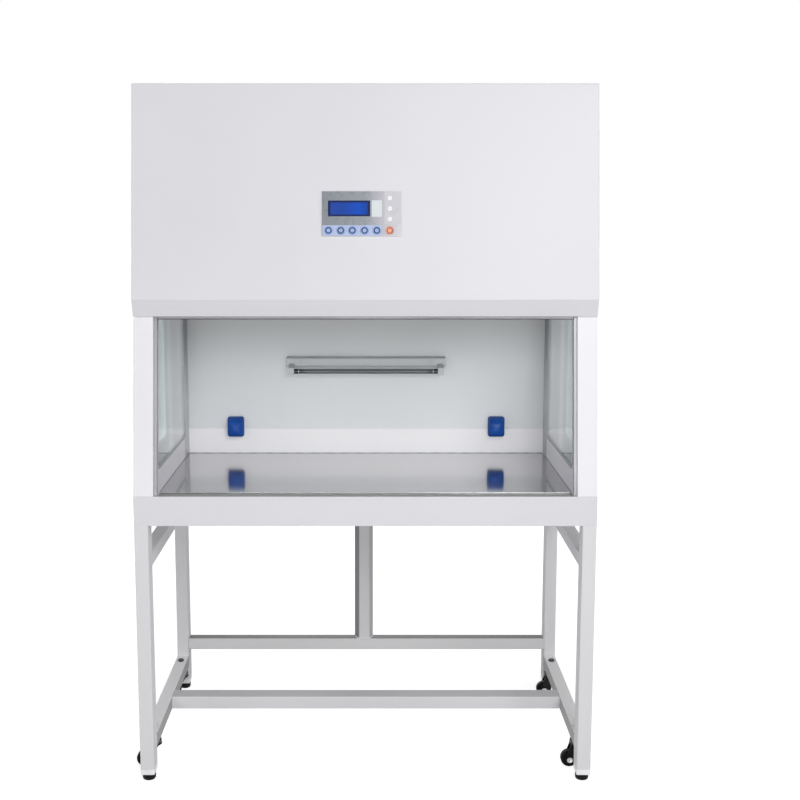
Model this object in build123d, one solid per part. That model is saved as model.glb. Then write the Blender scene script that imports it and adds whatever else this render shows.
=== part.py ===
"""A vertical laminar flow clean bench on a tubular stand with casters and levelling feet.

Millimetres. X runs to the right, Y away from the user, Z up from the floor.
Each piece is built in cabinet coordinates, where X = 0 is the middle of the cabinet and
Y = 0 the middle of its depth. write() then moves it so that the origin is the middle of
the whole footprint, casters included.
"""
from build123d import *
import os
from math import cos, radians, sin, tan

# ---------------------------------------------------------------- cabinet
cabinet_width = 1300.0
cabinet_depth = 780.0
stand_height = 761.5            # floor to the underside of the base
base_height = 84.0
opening_height = 499.0          # worktop to the underside of the hood lip
lip_height = 48.0
hood_front_height = 592.0       # hood front panel above the lip
front_tilt = 8.6                # degrees that the whole front leans back
post_setback = 2.0              # foot of the side panels behind the base front
hood_proud = 32.0               # hood front panel before the side panels
lip_proud = 7.5                 # lip's lower edge before the side panels
sheet = 2.0                     # folded steel sheet
sheet_corner = 3.0              # corners of the cabinet's sheets
base_nose = 2.0                 # top front edge of the base
lip_fold = 5.0                  # fold between the hood front and its lip
side_thickness = 65.0           # double-skinned side panel
chamber_depth_to_wall = 655.0   # base front to the chamber's back wall

# ---------------------------------------------------------------- chamber
worktop_front_setback = 55.0
worktop_sheet = 2.0
worktop_nose = 1.4              # radius of the folded front edge
groove_setback = 6.0            # front wall of the groove that the sash closes into
groove_depth = 6.0
worktop_ledge = 20.0
band_height = 83.0              # proud band along the foot of the back wall
band_proud = 2.0
window_front_margin = 36.0      # side window behind the sloping front edge
window_rear_setback = 569.0
window_bottom_above_worktop = 76.0
window_top_above_lip = 26.0     # above the hood lip's lower edge
window_corner = 15.0
window_rebate = 8.0
glass_thickness = 5.0
ceiling_above_lip = 56.0
diffuser_thickness = 5.0
diffuser_front_setback = 125.0
diffuser_slot_count = 22
diffuser_slot_width = 12.0
diffuser_slot_rows = 2
diffuser_margin = 40.0

# ---------------------------------------------------------------- sash
sash_gap = 14.0                 # front of the sash behind the side panels' front edge
sash_height = 535.0
sash_below_lip = 8.0            # the part of the raised sash that shows
sash_stop_gap = 4.0             # closed handle above the groove floor
handle_height = 22.0
handle_front = 6.0
handle_back = 3.0
handle_bite = 12.0              # glass held inside the handle rail
finger_lip = 2.0
guide_wall = 3.0
guide_play = 1.0
guide_depth = 15.0
sash_end_play = 2.0
post_lip = 9.0                  # the guide shows this much beside the post's face
guide_above_sash = 10.0

# ---------------------------------------------------------------- stand
leg_width = 40.0
leg_depth = 60.0
rail = 40.0
tube_wall = 2.0
tube_corner = 4.0
tube_inner_corner = tube_corner - tube_wall
foot_height = 23.5
plug_height = 16.0
plug_insert = 25.0
lower_rail_top = 123.5
rear_lower_rail_top = 185.5
upper_rail_top = 669.5
cross_rail_depth = 60.0
cross_rail_setback = 376.0      # middle of the cross rail behind the base front
post_x = -8.0
post_web = 40.0
post_flank_run = 11.0
post_flank_depth = 30.0
foot_radius = 19.5
foot_base_radius = 13.0
foot_side_low = 11.0            # the foot has its full radius from here up
foot_edge = 1.0
foot_stem_radius = 5.0
foot_stem_length = 67.5
foot_seat_gap = 0.2
running_gap = 0.06              # radial gap of a shaft in its bore

# ---------------------------------------------------------------- casters
caster_leg_gap = 3.0            # between a leg and the wheel as it swivels past
caster_trail = 25.0
wheel_radius = 25.0
wheel_width = 22.0
wheel_floor_gap = 2.0
wheel_side_gap = 1.5
wheel_hub_radius = 11.0
wheel_web_recess = 4.0
tread_depth = 5.0
tread_edge = 3.0
wheel_shoulder_inset = 1.0
axle_radius = 4.0
axle_head_radius = 7.0
axle_head_length = 3.0
fork_plate = 2.5
fork_disc_radius = 25.0
fork_disc_thickness = 3.0
fork_foot_radius = 12.0
swivel_gap = 0.3
swivel_cup_radius = 24.0
swivel_cup_height = 9.0
swivel_cup_edge = 2.5
swivel_pin_radius = 6.0
swivel_rivet_radius = 9.0
swivel_rivet_height = 3.0
caster_bolt_radius = 5.0
caster_bolt_head = 6.5
caster_bolt_across = 17.0

# ---------------------------------------------------------------- controls
panel_width = 224.0
panel_height = 127.0
panel_thickness = 4.0
panel_corner = 4.0
panel_edge = 1.0
panel_x = -10.0
panel_above_lip = 284.0         # panel centre above the lip's lower edge
panel_lap = 2.5                 # plate over the edge of the hood's cut-out
lcd_width = 117.0
lcd_height = 44.0
lcd_x = -35.0
lcd_y = 14.0
lcd_sink = 1.5
key_radius = 11.5
key_hole_gap = 0.3
key_proud = 2.5
key_edge = 1.5
key_travel = 1.2
key_flange = 2.0
key_flange_thickness = 2.0
key_flange_gap = 0.3            # flange behind the plate
key_stem_radius = 3.0
key_stem_length = 6.0
key_y = -47.0
key_x = (-92.0, -58.0, -26.0, 8.0, 42.0, 78.0)
led_x = 78.0
led_y = (43.0, 14.0, -15.0)
led_radius = 2.5
led_proud = 1.5
led_dome = 2.0
board_depth = 12.0              # rear face of the circuit board behind the hood sheet
board_thickness = 1.6
board_margin = 4.0
switch_size = 6.0
switch_gap = 0.3                # pressed key above its switch
standoff_radius = 3.0
standoff_gap = 2.0

# ---------------------------------------------------------------- sockets
socket_from_side = 157.0        # socket centre from the side panel's inner face
socket_above_worktop = 90.0
socket_width = 54.0
socket_height = 66.0
socket_depth = 14.0
socket_corner = 8.0
socket_well_radius = 18.0
socket_well_depth = 9.0
socket_well_drop = 3.0          # well centre below the socket's centre
socket_edge = 2.0
contact_radius = 2.2
contact_depth = 3.0
contact_places = ((-6.0, -4.0), (6.0, -4.0), (0.0, 6.0))
lid_width = 50.0
lid_height = 56.0
lid_shoulder_drop = 23.5        # start of the domed top below the hinge axis
lid_depth = 24.0
lid_wall = 2.0
lid_edge_depth = 14.0
lid_gap = 0.6
lid_axis_forward = 5.0          # hinge axis before the socket's face
lid_axis_drop = 6.0             # hinge axis below the socket's top
lid_barrel_radius = 3.5
lid_barrel_length = 20.0
lid_pin_radius = 1.5
lug_thickness = 4.0
lug_end_gap = 0.3
lug_root = 2.0                  # lug sunk into the socket's face

# ---------------------------------------------------------------- lamps
uv_length = 516.0
uv_above_worktop = 291.0        # underside of the housing
uv_housing_height = 30.0
uv_housing_depth = 40.0
uv_housing_edge = 6.0
uv_tube_radius = 8.0
uv_tube_drop = 12.0             # tube axis below the housing
uv_tube_forward = 60.0          # tube axis before the back wall
uv_holder_width = 18.0
uv_holder_inset = 8.0
uv_holder_wall = 3.0
uv_cap_step = 0.5               # metal cap proud of the glass
uv_cap_length = 14.0
uv_pin_radius = 1.2
uv_pin_length = 6.0
uv_pin_half_pitch = 3.2
work_lamp_length = 900.0
work_lamp_depth = 40.0
work_lamp_height = 30.0
work_lamp_edge = 10.0

# ---------------------------------------------------------------- air path
filter_height = 90.0
filter_frame = 20.0
filter_recess = 6.0
pleat_count = 36
pleat_height = 5.0
plenum_side_inset = 85.0
plenum_front_inset = 15.0
plenum_height = 60.0
fan_width = 260.0
fan_axis_above_filter = 250.0
fan_axis_setback = 400.0
scroll_start = 112.0
scroll_end = 175.0
scroll_cutoff_angle = 60.0
scroll_steps = 16
inlet_radius = 80.0
impeller_outer = 98.0
impeller_inner = 76.0
impeller_end_gap = 8.0
impeller_ring = 2.0
blade_count = 32
blade_sweep = 12.0              # degrees between a blade's two edges
blade_bulge = (1.75, -3.5)      # blade's middle from its chord, outwards and across
blade_skin = (-0.24, 1.2)       # upper skin from the lower one, outwards and across
hub_radius = 14.0
hub_length = 12.0
shaft_radius = 6.0
motor_radius = 42.0
motor_to_disc = 10.0
spider_arm = 15.0
spider_thickness = 4.0
spider_reach = 96.0
spider_arms = 3
spider_first_angle = 90.0
prefilter_width = 500.0
prefilter_depth = 380.0
prefilter_height = 20.0
prefilter_behind_fan = 30.0
grille_slot_count = 16
grille_slot_width = 10.0
grille_rows = 2
grille_bar = 20.0
return_flange = 15.0
inlet_x = 450.0
inlet_above_worktop = 60.0
inlet_width = 48.0
inlet_height = 28.0
inlet_depth = 32.0
inlet_wall = 5.0
inlet_well = 18.0
inlet_pin = 3.0
inlet_pin_pitch = 10.0

# ---------------------------------------------------------------- worked out
half_width = cabinet_width / 2
inner_half = half_width - side_thickness
socket_x = inner_half - socket_from_side
front = -cabinet_depth / 2
rear = cabinet_depth / 2
worktop_z = stand_height + base_height
lip_z = worktop_z + opening_height
hood_z = lip_z + lip_height
body_top = hood_z + hood_front_height
wall_y = front + chamber_depth_to_wall
worktop_back = wall_y - band_proud
tilt = radians(front_tilt)
slope = tan(tilt)
ceiling_z = lip_z + ceiling_above_lip
filter_z = ceiling_z + diffuser_thickness
filter_top = filter_z + filter_height
diffuser_front = front + diffuser_front_setback
leg_x = half_width - leg_width / 2
leg_y = cabinet_depth / 2 - leg_depth / 2
leg_inner_x = half_width - leg_width
leg_inner_y = rear - leg_depth
caster_y = leg_inner_y - caster_trail - wheel_radius - caster_leg_gap
caster_overhang = max(0.0, leg_x + caster_trail + wheel_radius - half_width)
cup_overhang = max(0.0, leg_x + fork_disc_radius - half_width)
footprint_shift = (caster_overhang - cup_overhang) / 2


def post_front(z):
    """Y of the side panels' sloping front edge at height z."""
    return front + post_setback + (z - worktop_z) * slope


def hood_front(z):
    """Y of the hood front panel at height z."""
    return post_front(z) - hood_proud


# ---------------------------------------------------------------- helpers
def block(x, y, z):
    """A box between the (low, high) pairs of x, y and z."""
    centre = ((x[0] + x[1]) / 2, (y[0] + y[1]) / 2, (z[0] + z[1]) / 2)
    return Pos(*centre) * Box(x[1] - x[0], y[1] - y[0], z[1] - z[0])


def side_view_face(points, corner=0.0):
    """A face in the YZ plane from its corners, rounded where a corner radius is given."""
    face = make_face(Polyline(*points, close=True))
    if corner > 0:
        face = fillet(face.vertices(), corner)
    return face


def along_x(face, x):
    """Extrude a YZ face from x[0] to x[1]."""
    return extrude(Plane.YZ.offset(x[0]) * face, amount=x[1] - x[0])


def tube_section(across, along):
    """Section of a rectangular steel tube with rounded corners."""
    outer = RectangleRounded(across, along, tube_corner)
    inner = RectangleRounded(across - 2 * tube_wall, along - 2 * tube_wall, tube_inner_corner)
    return outer - inner


def bar_z(x, y, z, across=leg_width, along=leg_depth):
    """An upright tube between two heights."""
    return extrude(Pos(x, y, z[0]) * tube_section(across, along), amount=z[1] - z[0])


def bar_y(x, y, top):
    """A square rail running front to back, its top at the given height."""
    plane = Plane(origin=(x, y[0], top - rail / 2), x_dir=(1, 0, 0), z_dir=(0, 1, 0))
    return extrude(plane * tube_section(rail, rail), amount=y[1] - y[0])


def bar_x(x, y, top, across=rail):
    """A rail running left to right, its top at the given height."""
    plane = Plane(origin=(x[0], y, top - rail / 2), x_dir=(0, 1, 0), z_dir=(1, 0, 0))
    return extrude(plane * tube_section(across, rail), amount=x[1] - x[0])


def both_sides(piece):
    """A piece and its mirror image across the middle of the cabinet."""
    return [piece, mirror(piece, Plane.YZ)]


def write(name, piece):
    """Move a piece, or a group of separate solids, to the shared frame and save it."""
    solids = piece if isinstance(piece, list) else [piece]
    placed = [Pos(footprint_shift, 0, 0) * solid for solid in solids]
    shape = placed[0] if len(placed) == 1 else Compound(children=[Part() + p for p in placed])
    shape.label = name
    export_step(shape, f"parts/{name}.step")


# ---------------------------------------------------------------- stand
def leg(x, y):
    """One upright of the stand, above its plastic end plug."""
    return bar_z(x, y, (foot_height + plug_height, stand_height))


def leg_plug(x, y):
    """End plug with a threaded bore for the levelling foot."""
    cap = RectangleRounded(leg_width, leg_depth, tube_corner)
    core = RectangleRounded(
        leg_width - 2 * tube_wall, leg_depth - 2 * tube_wall, tube_inner_corner
    )
    plug = extrude(Pos(x, y, foot_height) * cap, amount=plug_height)
    plug += extrude(Pos(x, y, foot_height + plug_height) * core, amount=plug_insert)
    bore = Circle(foot_stem_radius + running_gap)
    plug -= extrude(Pos(x, y, foot_height) * bore, amount=plug_height + plug_insert)
    return plug


def levelling_foot(x, y):
    """Round-bottomed foot on a threaded stem."""
    top = foot_height - foot_seat_gap
    corners = [
        (foot_radius, foot_side_low),
        (foot_radius, top - foot_edge),
        (foot_radius - foot_edge, top),
        (foot_stem_radius, top),
        (foot_stem_radius, foot_stem_length),
        (0, foot_stem_length),
        (0, 0),
        (foot_base_radius, 0),
    ]
    side = Spline(corners[-1], corners[0], tangents=((1, 0), (0, 1)))
    profile = Polyline(*corners) + side
    foot = revolve(Plane.XZ * make_face(profile), axis=Axis.Z)
    return Pos(x, y, 0) * foot


def lower_side_rail(side):
    """Lower rail between a front and a rear leg, drilled for the caster bolts."""
    x = side * leg_x
    piece = bar_y(x, (-leg_inner_y, leg_inner_y), lower_rail_top)
    for y in (-caster_y, caster_y):
        bore = Circle(caster_bolt_radius + running_gap)
        piece -= extrude(Pos(x, y, lower_rail_top - rail) * bore, amount=rail)
    return piece


def centre_post():
    """Folded upright between the two rear rails, with splayed flanks and an open back."""
    half = post_web / 2
    outer = half + post_flank_run
    front_y = leg_inner_y
    back_y = front_y + post_flank_depth
    skin = tube_wall
    section = make_face(
        Polyline(
            (post_x - half, front_y),
            (post_x + half, front_y),
            (post_x + outer, back_y),
            (post_x + outer - skin, back_y),
            (post_x + half - skin, front_y + skin),
            (post_x - half + skin, front_y + skin),
            (post_x - outer + skin, back_y),
            (post_x - outer, back_y),
            close=True,
        )
    )
    height = upper_rail_top - rail - rear_lower_rail_top
    return extrude(Pos(0, 0, rear_lower_rail_top) * section, amount=height)


# ---------------------------------------------------------------- casters
axle_z = wheel_floor_gap + wheel_radius
rail_bottom = lower_rail_top - rail
cup_bottom = rail_bottom - swivel_cup_height
disc_top = cup_bottom - swivel_gap
disc_bottom = disc_top - fork_disc_thickness
rivet_top = disc_bottom - swivel_gap
fork_inner = wheel_width / 2 + wheel_side_gap


def caster_pivot():
    """Bolt through the rail, swivel cup under it and the riveted king pin."""
    bolt = Pos(0, 0, rail_bottom) * Cylinder(
        caster_bolt_radius, rail, align=(Align.CENTER, Align.CENTER, Align.MIN)
    )
    hexagon = RegularPolygon(caster_bolt_across / 2, 6, major_radius=False)
    head = extrude(Pos(0, 0, lower_rail_top) * hexagon, amount=caster_bolt_head)
    cup = extrude(Pos(0, 0, cup_bottom) * Circle(swivel_cup_radius), amount=swivel_cup_height)
    cup = fillet(cup.edges().group_by(Axis.Z)[0], swivel_cup_edge)
    pin_length = cup_bottom - rivet_top
    pin = extrude(Pos(0, 0, rivet_top) * Circle(swivel_pin_radius), amount=pin_length)
    rivet_z = rivet_top - swivel_rivet_height
    rivet = extrude(Pos(0, 0, rivet_z) * Circle(swivel_rivet_radius), amount=swivel_rivet_height)
    return bolt + head + cup + pin + rivet


def caster_fork():
    """Pressed fork with its axle bolt, trailing towards -X."""
    disc = extrude(Pos(0, 0, disc_bottom) * Circle(fork_disc_radius), amount=fork_disc_thickness)
    bore = Circle(swivel_pin_radius + running_gap)
    disc -= extrude(Pos(0, 0, disc_bottom) * bore, amount=fork_disc_thickness)
    top_half = (fork_disc_radius ** 2 - (fork_inner + fork_plate) ** 2) ** 0.5
    shoulder = Line((-top_half, disc_top), (top_half, disc_top))
    foot = Pos(-caster_trail, axle_z) * Circle(fork_foot_radius)
    outline = make_hull(shoulder.edges() + foot.edges())
    fork = disc
    for side in (-1, 1):
        start = fork_inner if side < 0 else -fork_inner
        cheek = extrude(Plane.XZ.offset(start) * outline, amount=-side * fork_plate)
        fork += cheek
    reach = fork_inner + fork_plate
    axle = Plane.XZ.offset(-reach) * Pos(-caster_trail, axle_z) * Circle(axle_radius)
    fork += extrude(axle, amount=2 * reach)
    for start, amount in ((reach, axle_head_length), (-reach, -axle_head_length)):
        hexagon = RegularPolygon(axle_head_radius, 6)
        head = Plane.XZ.offset(start) * Pos(-caster_trail, axle_z) * hexagon
        fork += extrude(head, amount=amount)
    return fork


def caster_wheel():
    """Wheel with a rounded tread, a recessed web and a hub."""
    half = wheel_width / 2
    shoulder = half - wheel_shoulder_inset
    web = half - wheel_web_recess
    rim = wheel_radius - tread_depth
    upper = [
        (axle_radius + running_gap, half),
        (wheel_hub_radius, half),
        (wheel_hub_radius, web),
        (rim - wheel_shoulder_inset, web),
        (rim, shoulder),
        (wheel_radius, shoulder),
    ]
    lower = [(x, -y) for x, y in reversed(upper)]
    outline = make_face(Polyline(*upper, *lower, close=True))
    outline = fillet(outline.vertices().group_by(Axis.X)[-1], tread_edge)
    wheel = revolve(outline, axis=Axis.Y)
    return Pos(-caster_trail, 0, axle_z) * wheel


# ---------------------------------------------------------------- base and worktop
def base_tray():
    """Folded base, open below, with the sash groove and a ledge for the worktop."""
    outer = block((-half_width, half_width), (front, rear), (stand_height, worktop_z))
    outer = fillet(outer.edges().filter_by(Axis.Z), sheet_corner)
    outer = fillet(outer.edges().group_by(Axis.Z)[-1].group_by(Axis.Y)[0], base_nose)
    top_plate = groove_depth + sheet
    inside = block(
        (-half_width + sheet, half_width - sheet),
        (front + sheet, rear - sheet),
        (stand_height + sheet, worktop_z - top_plate),
    )
    mouth = block(
        (-half_width + return_flange, half_width - return_flange),
        (front + return_flange, rear - return_flange),
        (stand_height, stand_height + sheet),
    )
    groove = block(
        (-inner_half, inner_half),
        (front + groove_setback, front + worktop_front_setback + worktop_sheet),
        (worktop_z - groove_depth, worktop_z),
    )
    seat = block(
        (-inner_half, inner_half),
        (front + worktop_front_setback, worktop_back),
        (worktop_z - worktop_sheet, worktop_z),
    )
    well = block(
        (-inner_half + worktop_ledge, inner_half - worktop_ledge),
        (front + worktop_front_setback + worktop_ledge, worktop_back - worktop_ledge),
        (worktop_z - top_plate, worktop_z),
    )
    return outer - inside - mouth - groove - seat - well


def worktop():
    """Stainless sheet with its front edge folded down into the groove."""
    y0 = front + worktop_front_setback
    height = (worktop_z - worktop_sheet, worktop_z)
    plate = block((-inner_half, inner_half), (y0, worktop_back), height)
    fold = block(
        (-inner_half, inner_half),
        (y0, y0 + worktop_sheet),
        (worktop_z - groove_depth, worktop_z),
    )
    piece = plate + fold
    nose = piece.edges().filter_by(Axis.X).group_by(Axis.Z)[-1].group_by(Axis.Y)[0]
    return fillet(nose, worktop_nose)


# ---------------------------------------------------------------- sash and its frame
def slope_plane(z, offset):
    """Plane parallel to the front, offset behind it, X right, Y up the slope, Z outwards."""
    return Plane(
        origin=(0, post_front(z) + offset, z),
        x_dir=(1, 0, 0),
        z_dir=(0, -cos(tilt), sin(tilt)),
    )


sash_bottom_z = lip_z - sash_below_lip
sash_plane = slope_plane(sash_bottom_z, sash_gap)
sash_closed_z = worktop_z - groove_depth + sash_stop_gap
sash_travel = (sash_bottom_z - sash_closed_z) / cos(tilt)
guide_front = guide_wall + guide_play
guide_back = -(glass_thickness + guide_play + guide_wall)
guide_low = (worktop_z - sash_bottom_z) / cos(tilt)
guide_high = sash_height + guide_above_sash
channel_half = inner_half + guide_depth + guide_wall
glass_half = inner_half + guide_depth - sash_end_play


def sash_box(x, y, z):
    """A box given in the sash's own sloping plane."""
    return sash_plane * block(x, y, z)


def window_outline(grow):
    """Outline of the side window, grown all round by the rebate if asked."""
    low = worktop_z + window_bottom_above_worktop - grow
    high = lip_z + window_top_above_lip + grow
    back = front + window_rear_setback + grow
    points = [
        (post_front(low) + window_front_margin - grow, low),
        (back, low),
        (back, high),
        (post_front(high) + window_front_margin - grow, high),
    ]
    return side_view_face(points, window_corner + grow)


def side_panel():
    """Right-hand side: sloping front edge, window, glass rebate and sash channel."""
    outline = [
        (post_front(worktop_z), worktop_z),
        (rear, worktop_z),
        (rear, body_top),
        (post_front(body_top), body_top),
    ]
    panel = along_x(side_view_face(outline), (inner_half, half_width))
    front_edges = panel.edges().filter_by(Axis.X, reverse=True).group_by(Axis.Y)[0]
    panel = fillet(front_edges.sort_by(Axis.X)[-1], sheet_corner)
    panel -= along_x(window_outline(0), (inner_half, half_width))
    rebate = (inner_half, inner_half + glass_thickness)
    panel -= along_x(window_outline(window_rebate), rebate)
    hidden_front = sash_gap - guide_back + 2 * sheet
    hollow = [
        (post_front(worktop_z) + hidden_front, worktop_z),
        (rear - sheet, worktop_z),
        (rear - sheet, body_top - sheet),
        (post_front(body_top) + hidden_front, body_top - sheet),
    ]
    between_skins = (inner_half + sheet, half_width - sheet)
    cavity = along_x(side_view_face(hollow), between_skins)
    cavity -= along_x(window_outline(window_rebate + sheet), between_skins)
    panel -= cavity
    low = guide_low - handle_height
    channel = sash_box((inner_half, channel_half), (low, guide_high), (guide_back, guide_front))
    relief = sash_box(
        (inner_half, inner_half + post_lip),
        (low, guide_high + sash_height),
        (guide_front, sash_gap + handle_height),
    )
    return panel - channel - relief


def side_glass():
    """Pane seated in the rebate, flush with the chamber side."""
    return along_x(window_outline(window_rebate), (inner_half, inner_half + glass_thickness))


def sash_guide():
    """Right-hand U-channel that the glass runs in."""
    outer = sash_box((inner_half, channel_half), (guide_low, guide_high), (guide_back, guide_front))
    slot = sash_box(
        (inner_half, channel_half - guide_wall),
        (guide_low, guide_high),
        (guide_back + guide_wall, guide_front - guide_wall),
    )
    below = block((0, half_width), (front, rear), (stand_height, worktop_z))
    return outer - slot - below


def sash_glass():
    """Sliding front pane, drawn fully raised."""
    low = handle_height - handle_bite
    pane = sash_box((-glass_half, glass_half), (low, sash_height), (-glass_thickness, 0))
    return pane


def sash_handle():
    """Rail that grips the pane's lower edge, with a finger lip along its front."""
    low_front = handle_height - handle_bite
    half = inner_half - sash_end_play
    depth = (-glass_thickness - handle_back, handle_front)
    rail_piece = sash_box((-half, half), (0, handle_height), depth)
    finger_depth = (handle_front - finger_lip, handle_front)
    finger = sash_box((-half, half), (low_front, handle_height), finger_depth)
    bite = sash_box((-half, half), (low_front, handle_height), (-glass_thickness, 0))
    return rail_piece - finger - bite


# ---------------------------------------------------------------- walls and hood
def back_wall():
    """Chamber back wall with a proud band along its foot."""
    upper = worktop_z + band_height
    y = (wall_y, wall_y + sheet)
    wall = block((-inner_half, inner_half), y, (worktop_z, ceiling_z))
    points = [
        (wall_y + sheet, worktop_z),
        (wall_y - band_proud, worktop_z),
        (wall_y - band_proud, upper - band_proud),
        (wall_y, upper),
        (wall_y + sheet, upper),
    ]
    return wall + along_x(side_view_face(points), (-inner_half, inner_half))


def rear_panel():
    """Rear cover between the side panels, with returned edges and the inlet's cut-out."""
    outer = block((-inner_half, inner_half), (rear - return_flange, rear), (worktop_z, body_top))
    inside = block(
        (-inner_half + sheet, inner_half - sheet),
        (rear - return_flange, rear - sheet),
        (worktop_z + sheet, body_top - sheet),
    )
    low = worktop_z + inlet_above_worktop
    hole = block(
        (inlet_x - inlet_width / 2, inlet_x + inlet_width / 2),
        (rear - sheet, rear),
        (low, low + inlet_height),
    )
    return outer - inside - hole


def hood_profile(shrink):
    """Side view of the hood front: sloping face, lip and the side panels' edge."""
    low = lip_z + shrink
    lip_y = post_front(lip_z) - lip_proud
    back = 0 if shrink == 0 else hood_proud
    return [
        (hood_front(body_top) + shrink, body_top),
        (hood_front(hood_z) + shrink, hood_z),
        (lip_y + shrink, low),
        (post_front(low) + back, low),
        (post_front(body_top) + back, body_top),
    ]


hood_panel_plane = Plane(
    origin=(panel_x, hood_front(lip_z + panel_above_lip), lip_z + panel_above_lip),
    x_dir=(1, 0, 0),
    z_dir=(0, -cos(tilt), sin(tilt)),
)


def hood_front_panel():
    """Tray-shaped front of the hood with its tucked-in lip and the control cut-out."""
    outer = along_x(side_view_face(hood_profile(0)), (-half_width, half_width))
    fold = outer.edges().filter_by(Axis.X).group_by(Axis.Y)[0]
    outer = fillet(fold, lip_fold)
    uprights = outer.edges().filter_by(Axis.X, reverse=True)
    uprights = uprights.filter_by(lambda e: e.center().Y < post_front(e.center().Z) - lip_proud)
    outer = fillet(uprights.filter_by(lambda e: e.length > hood_front_height / 2), sheet_corner)
    inside = along_x(
        side_view_face(hood_profile(sheet)), (-half_width + sheet, half_width - sheet)
    )
    cut = hood_panel_plane * Box(
        panel_width - 2 * panel_lap, panel_height - 2 * panel_lap, hood_proud
    )
    return outer - inside - cut


def top_cover():
    """Roof sheet with two rows of intake slots over the prefilter."""
    y0 = hood_front(body_top)
    plate = block((-half_width, half_width), (y0, rear), (body_top, body_top + sheet))
    plate = fillet(plate.edges().filter_by(Axis.Z), sheet_corner)
    field = prefilter_width - 2 * grille_bar
    pitch = field / grille_slot_count
    slot_length = (prefilter_depth - (grille_rows + 1) * grille_bar) / grille_rows
    slot = SlotOverall(slot_length, grille_slot_width, rotation=90)
    cuts = Sketch() + [
        Pos((i + 0.5) * pitch - field / 2, (row + 0.5 - grille_rows / 2) * (slot_length + grille_bar))
        * slot
        for i in range(grille_slot_count)
        for row in range(grille_rows)
    ]
    return plate - extrude(Pos(0, prefilter_y, body_top) * cuts, amount=sheet)


prefilter_y = front + fan_axis_setback + prefilter_behind_fan


def prefilter():
    """Fibre pad held under the roof slots."""
    return block(
        (-prefilter_width / 2, prefilter_width / 2),
        (prefilter_y - prefilter_depth / 2, prefilter_y + prefilter_depth / 2),
        (body_top - prefilter_height, body_top),
    )


def mains_inlet():
    """Flush mains inlet with three flat pins in its well."""
    low = worktop_z + inlet_above_worktop
    body = block(
        (inlet_x - inlet_width / 2, inlet_x + inlet_width / 2),
        (rear - inlet_depth, rear),
        (low, low + inlet_height),
    )
    well = block(
        (inlet_x - inlet_width / 2 + inlet_wall, inlet_x + inlet_width / 2 - inlet_wall),
        (rear - inlet_well, rear),
        (low + inlet_wall, low + inlet_height - inlet_wall),
    )
    body -= well
    middle = low + inlet_height / 2
    for dx in (-inlet_pin_pitch, 0, inlet_pin_pitch):
        body += block(
            (inlet_x + dx - inlet_pin / 2, inlet_x + dx + inlet_pin / 2),
            (rear - inlet_well, rear - inlet_wall),
            (middle - inlet_pin, middle + inlet_pin),
        )
    return body


# ---------------------------------------------------------------- air path
def diffuser():
    """Slotted outlet sheet that forms the chamber's ceiling."""
    plate = block(
        (-inner_half, inner_half), (diffuser_front, wall_y + sheet), (ceiling_z, filter_z)
    )
    field = 2 * inner_half - 2 * diffuser_margin
    pitch = field / diffuser_slot_count
    depth = wall_y - diffuser_front - work_lamp_depth
    length = (depth - (diffuser_slot_rows + 1) * diffuser_margin) / diffuser_slot_rows
    first = diffuser_front + work_lamp_depth + diffuser_margin + length / 2
    for i in range(diffuser_slot_count):
        x = (i + 0.5) * pitch - field / 2
        for row in range(diffuser_slot_rows):
            y = first + row * (length + diffuser_margin)
            plate -= block(
                (x - diffuser_slot_width / 2, x + diffuser_slot_width / 2),
                (y - length / 2, y + length / 2),
                (ceiling_z, filter_z),
            )
    return plate


def hepa_filter():
    """High-efficiency filter: a rigid frame round its folded paper pack."""
    x, y = (-inner_half, inner_half), (diffuser_front, wall_y + sheet)
    body = block(x, y, (filter_z, filter_top))
    inset = filter_frame
    field_x = (x[0] + inset, x[1] - inset)
    field_y = (y[0] + inset, y[1] - inset)
    for z in ((filter_z, filter_z + filter_recess), (filter_top - filter_recess, filter_top)):
        body -= block(field_x, field_y, z)
    pitch = (field_x[1] - field_x[0]) / pleat_count
    base = filter_z + filter_recess
    for i in range(pleat_count):
        left = field_x[0] + i * pitch
        ridge = [(left, base), (left + pitch / 2, base - pleat_height), (left + pitch, base)]
        face = Plane.XZ * make_face(Polyline(*ridge, close=True))
        body += extrude(Pos(0, field_y[0], 0) * face, amount=-(field_y[1] - field_y[0]))
    return body


fan_y = front + fan_axis_setback
fan_z = filter_top + fan_axis_above_filter


def scroll_face(shrink, foot):
    """Spiral outline of the fan casing with its outlet running down to the given height."""
    start, end = scroll_start - shrink, scroll_end - shrink
    first, turn = radians(-scroll_cutoff_angle), radians(360 - scroll_cutoff_angle)
    points = []
    for i in range(scroll_steps + 1):
        share = i / scroll_steps
        radius = start + (end - start) * share
        angle = first - turn * share
        points.append((fan_y + radius * cos(angle), fan_z + radius * sin(angle)))
    spiral = Spline(*points)
    closing = Polyline(points[-1], (points[-1][0], foot), (points[0][0], foot), points[0])
    return make_face(spiral + closing)


def blower_housing():
    """Plenum over the filter with the scroll casing welded to its top."""
    x = inner_half - plenum_side_inset
    y = (diffuser_front + plenum_front_inset, wall_y - plenum_front_inset)
    top = filter_top + plenum_height
    plenum = block((-x, x), y, (filter_top, top))
    half = fan_width / 2
    casing = plenum + along_x(scroll_face(0, filter_top + sheet), (-half, half))
    casing -= block(
        (-x + sheet, x - sheet), (y[0] + sheet, y[1] - sheet), (filter_top, top - sheet)
    )
    hollow = along_x(scroll_face(sheet, filter_top), (-half + sheet, half - sheet))
    casing -= hollow
    inlet = Plane.YZ.offset(-half) * Pos(fan_y, fan_z) * Circle(inlet_radius)
    return casing - extrude(inlet, amount=fan_width)


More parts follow.
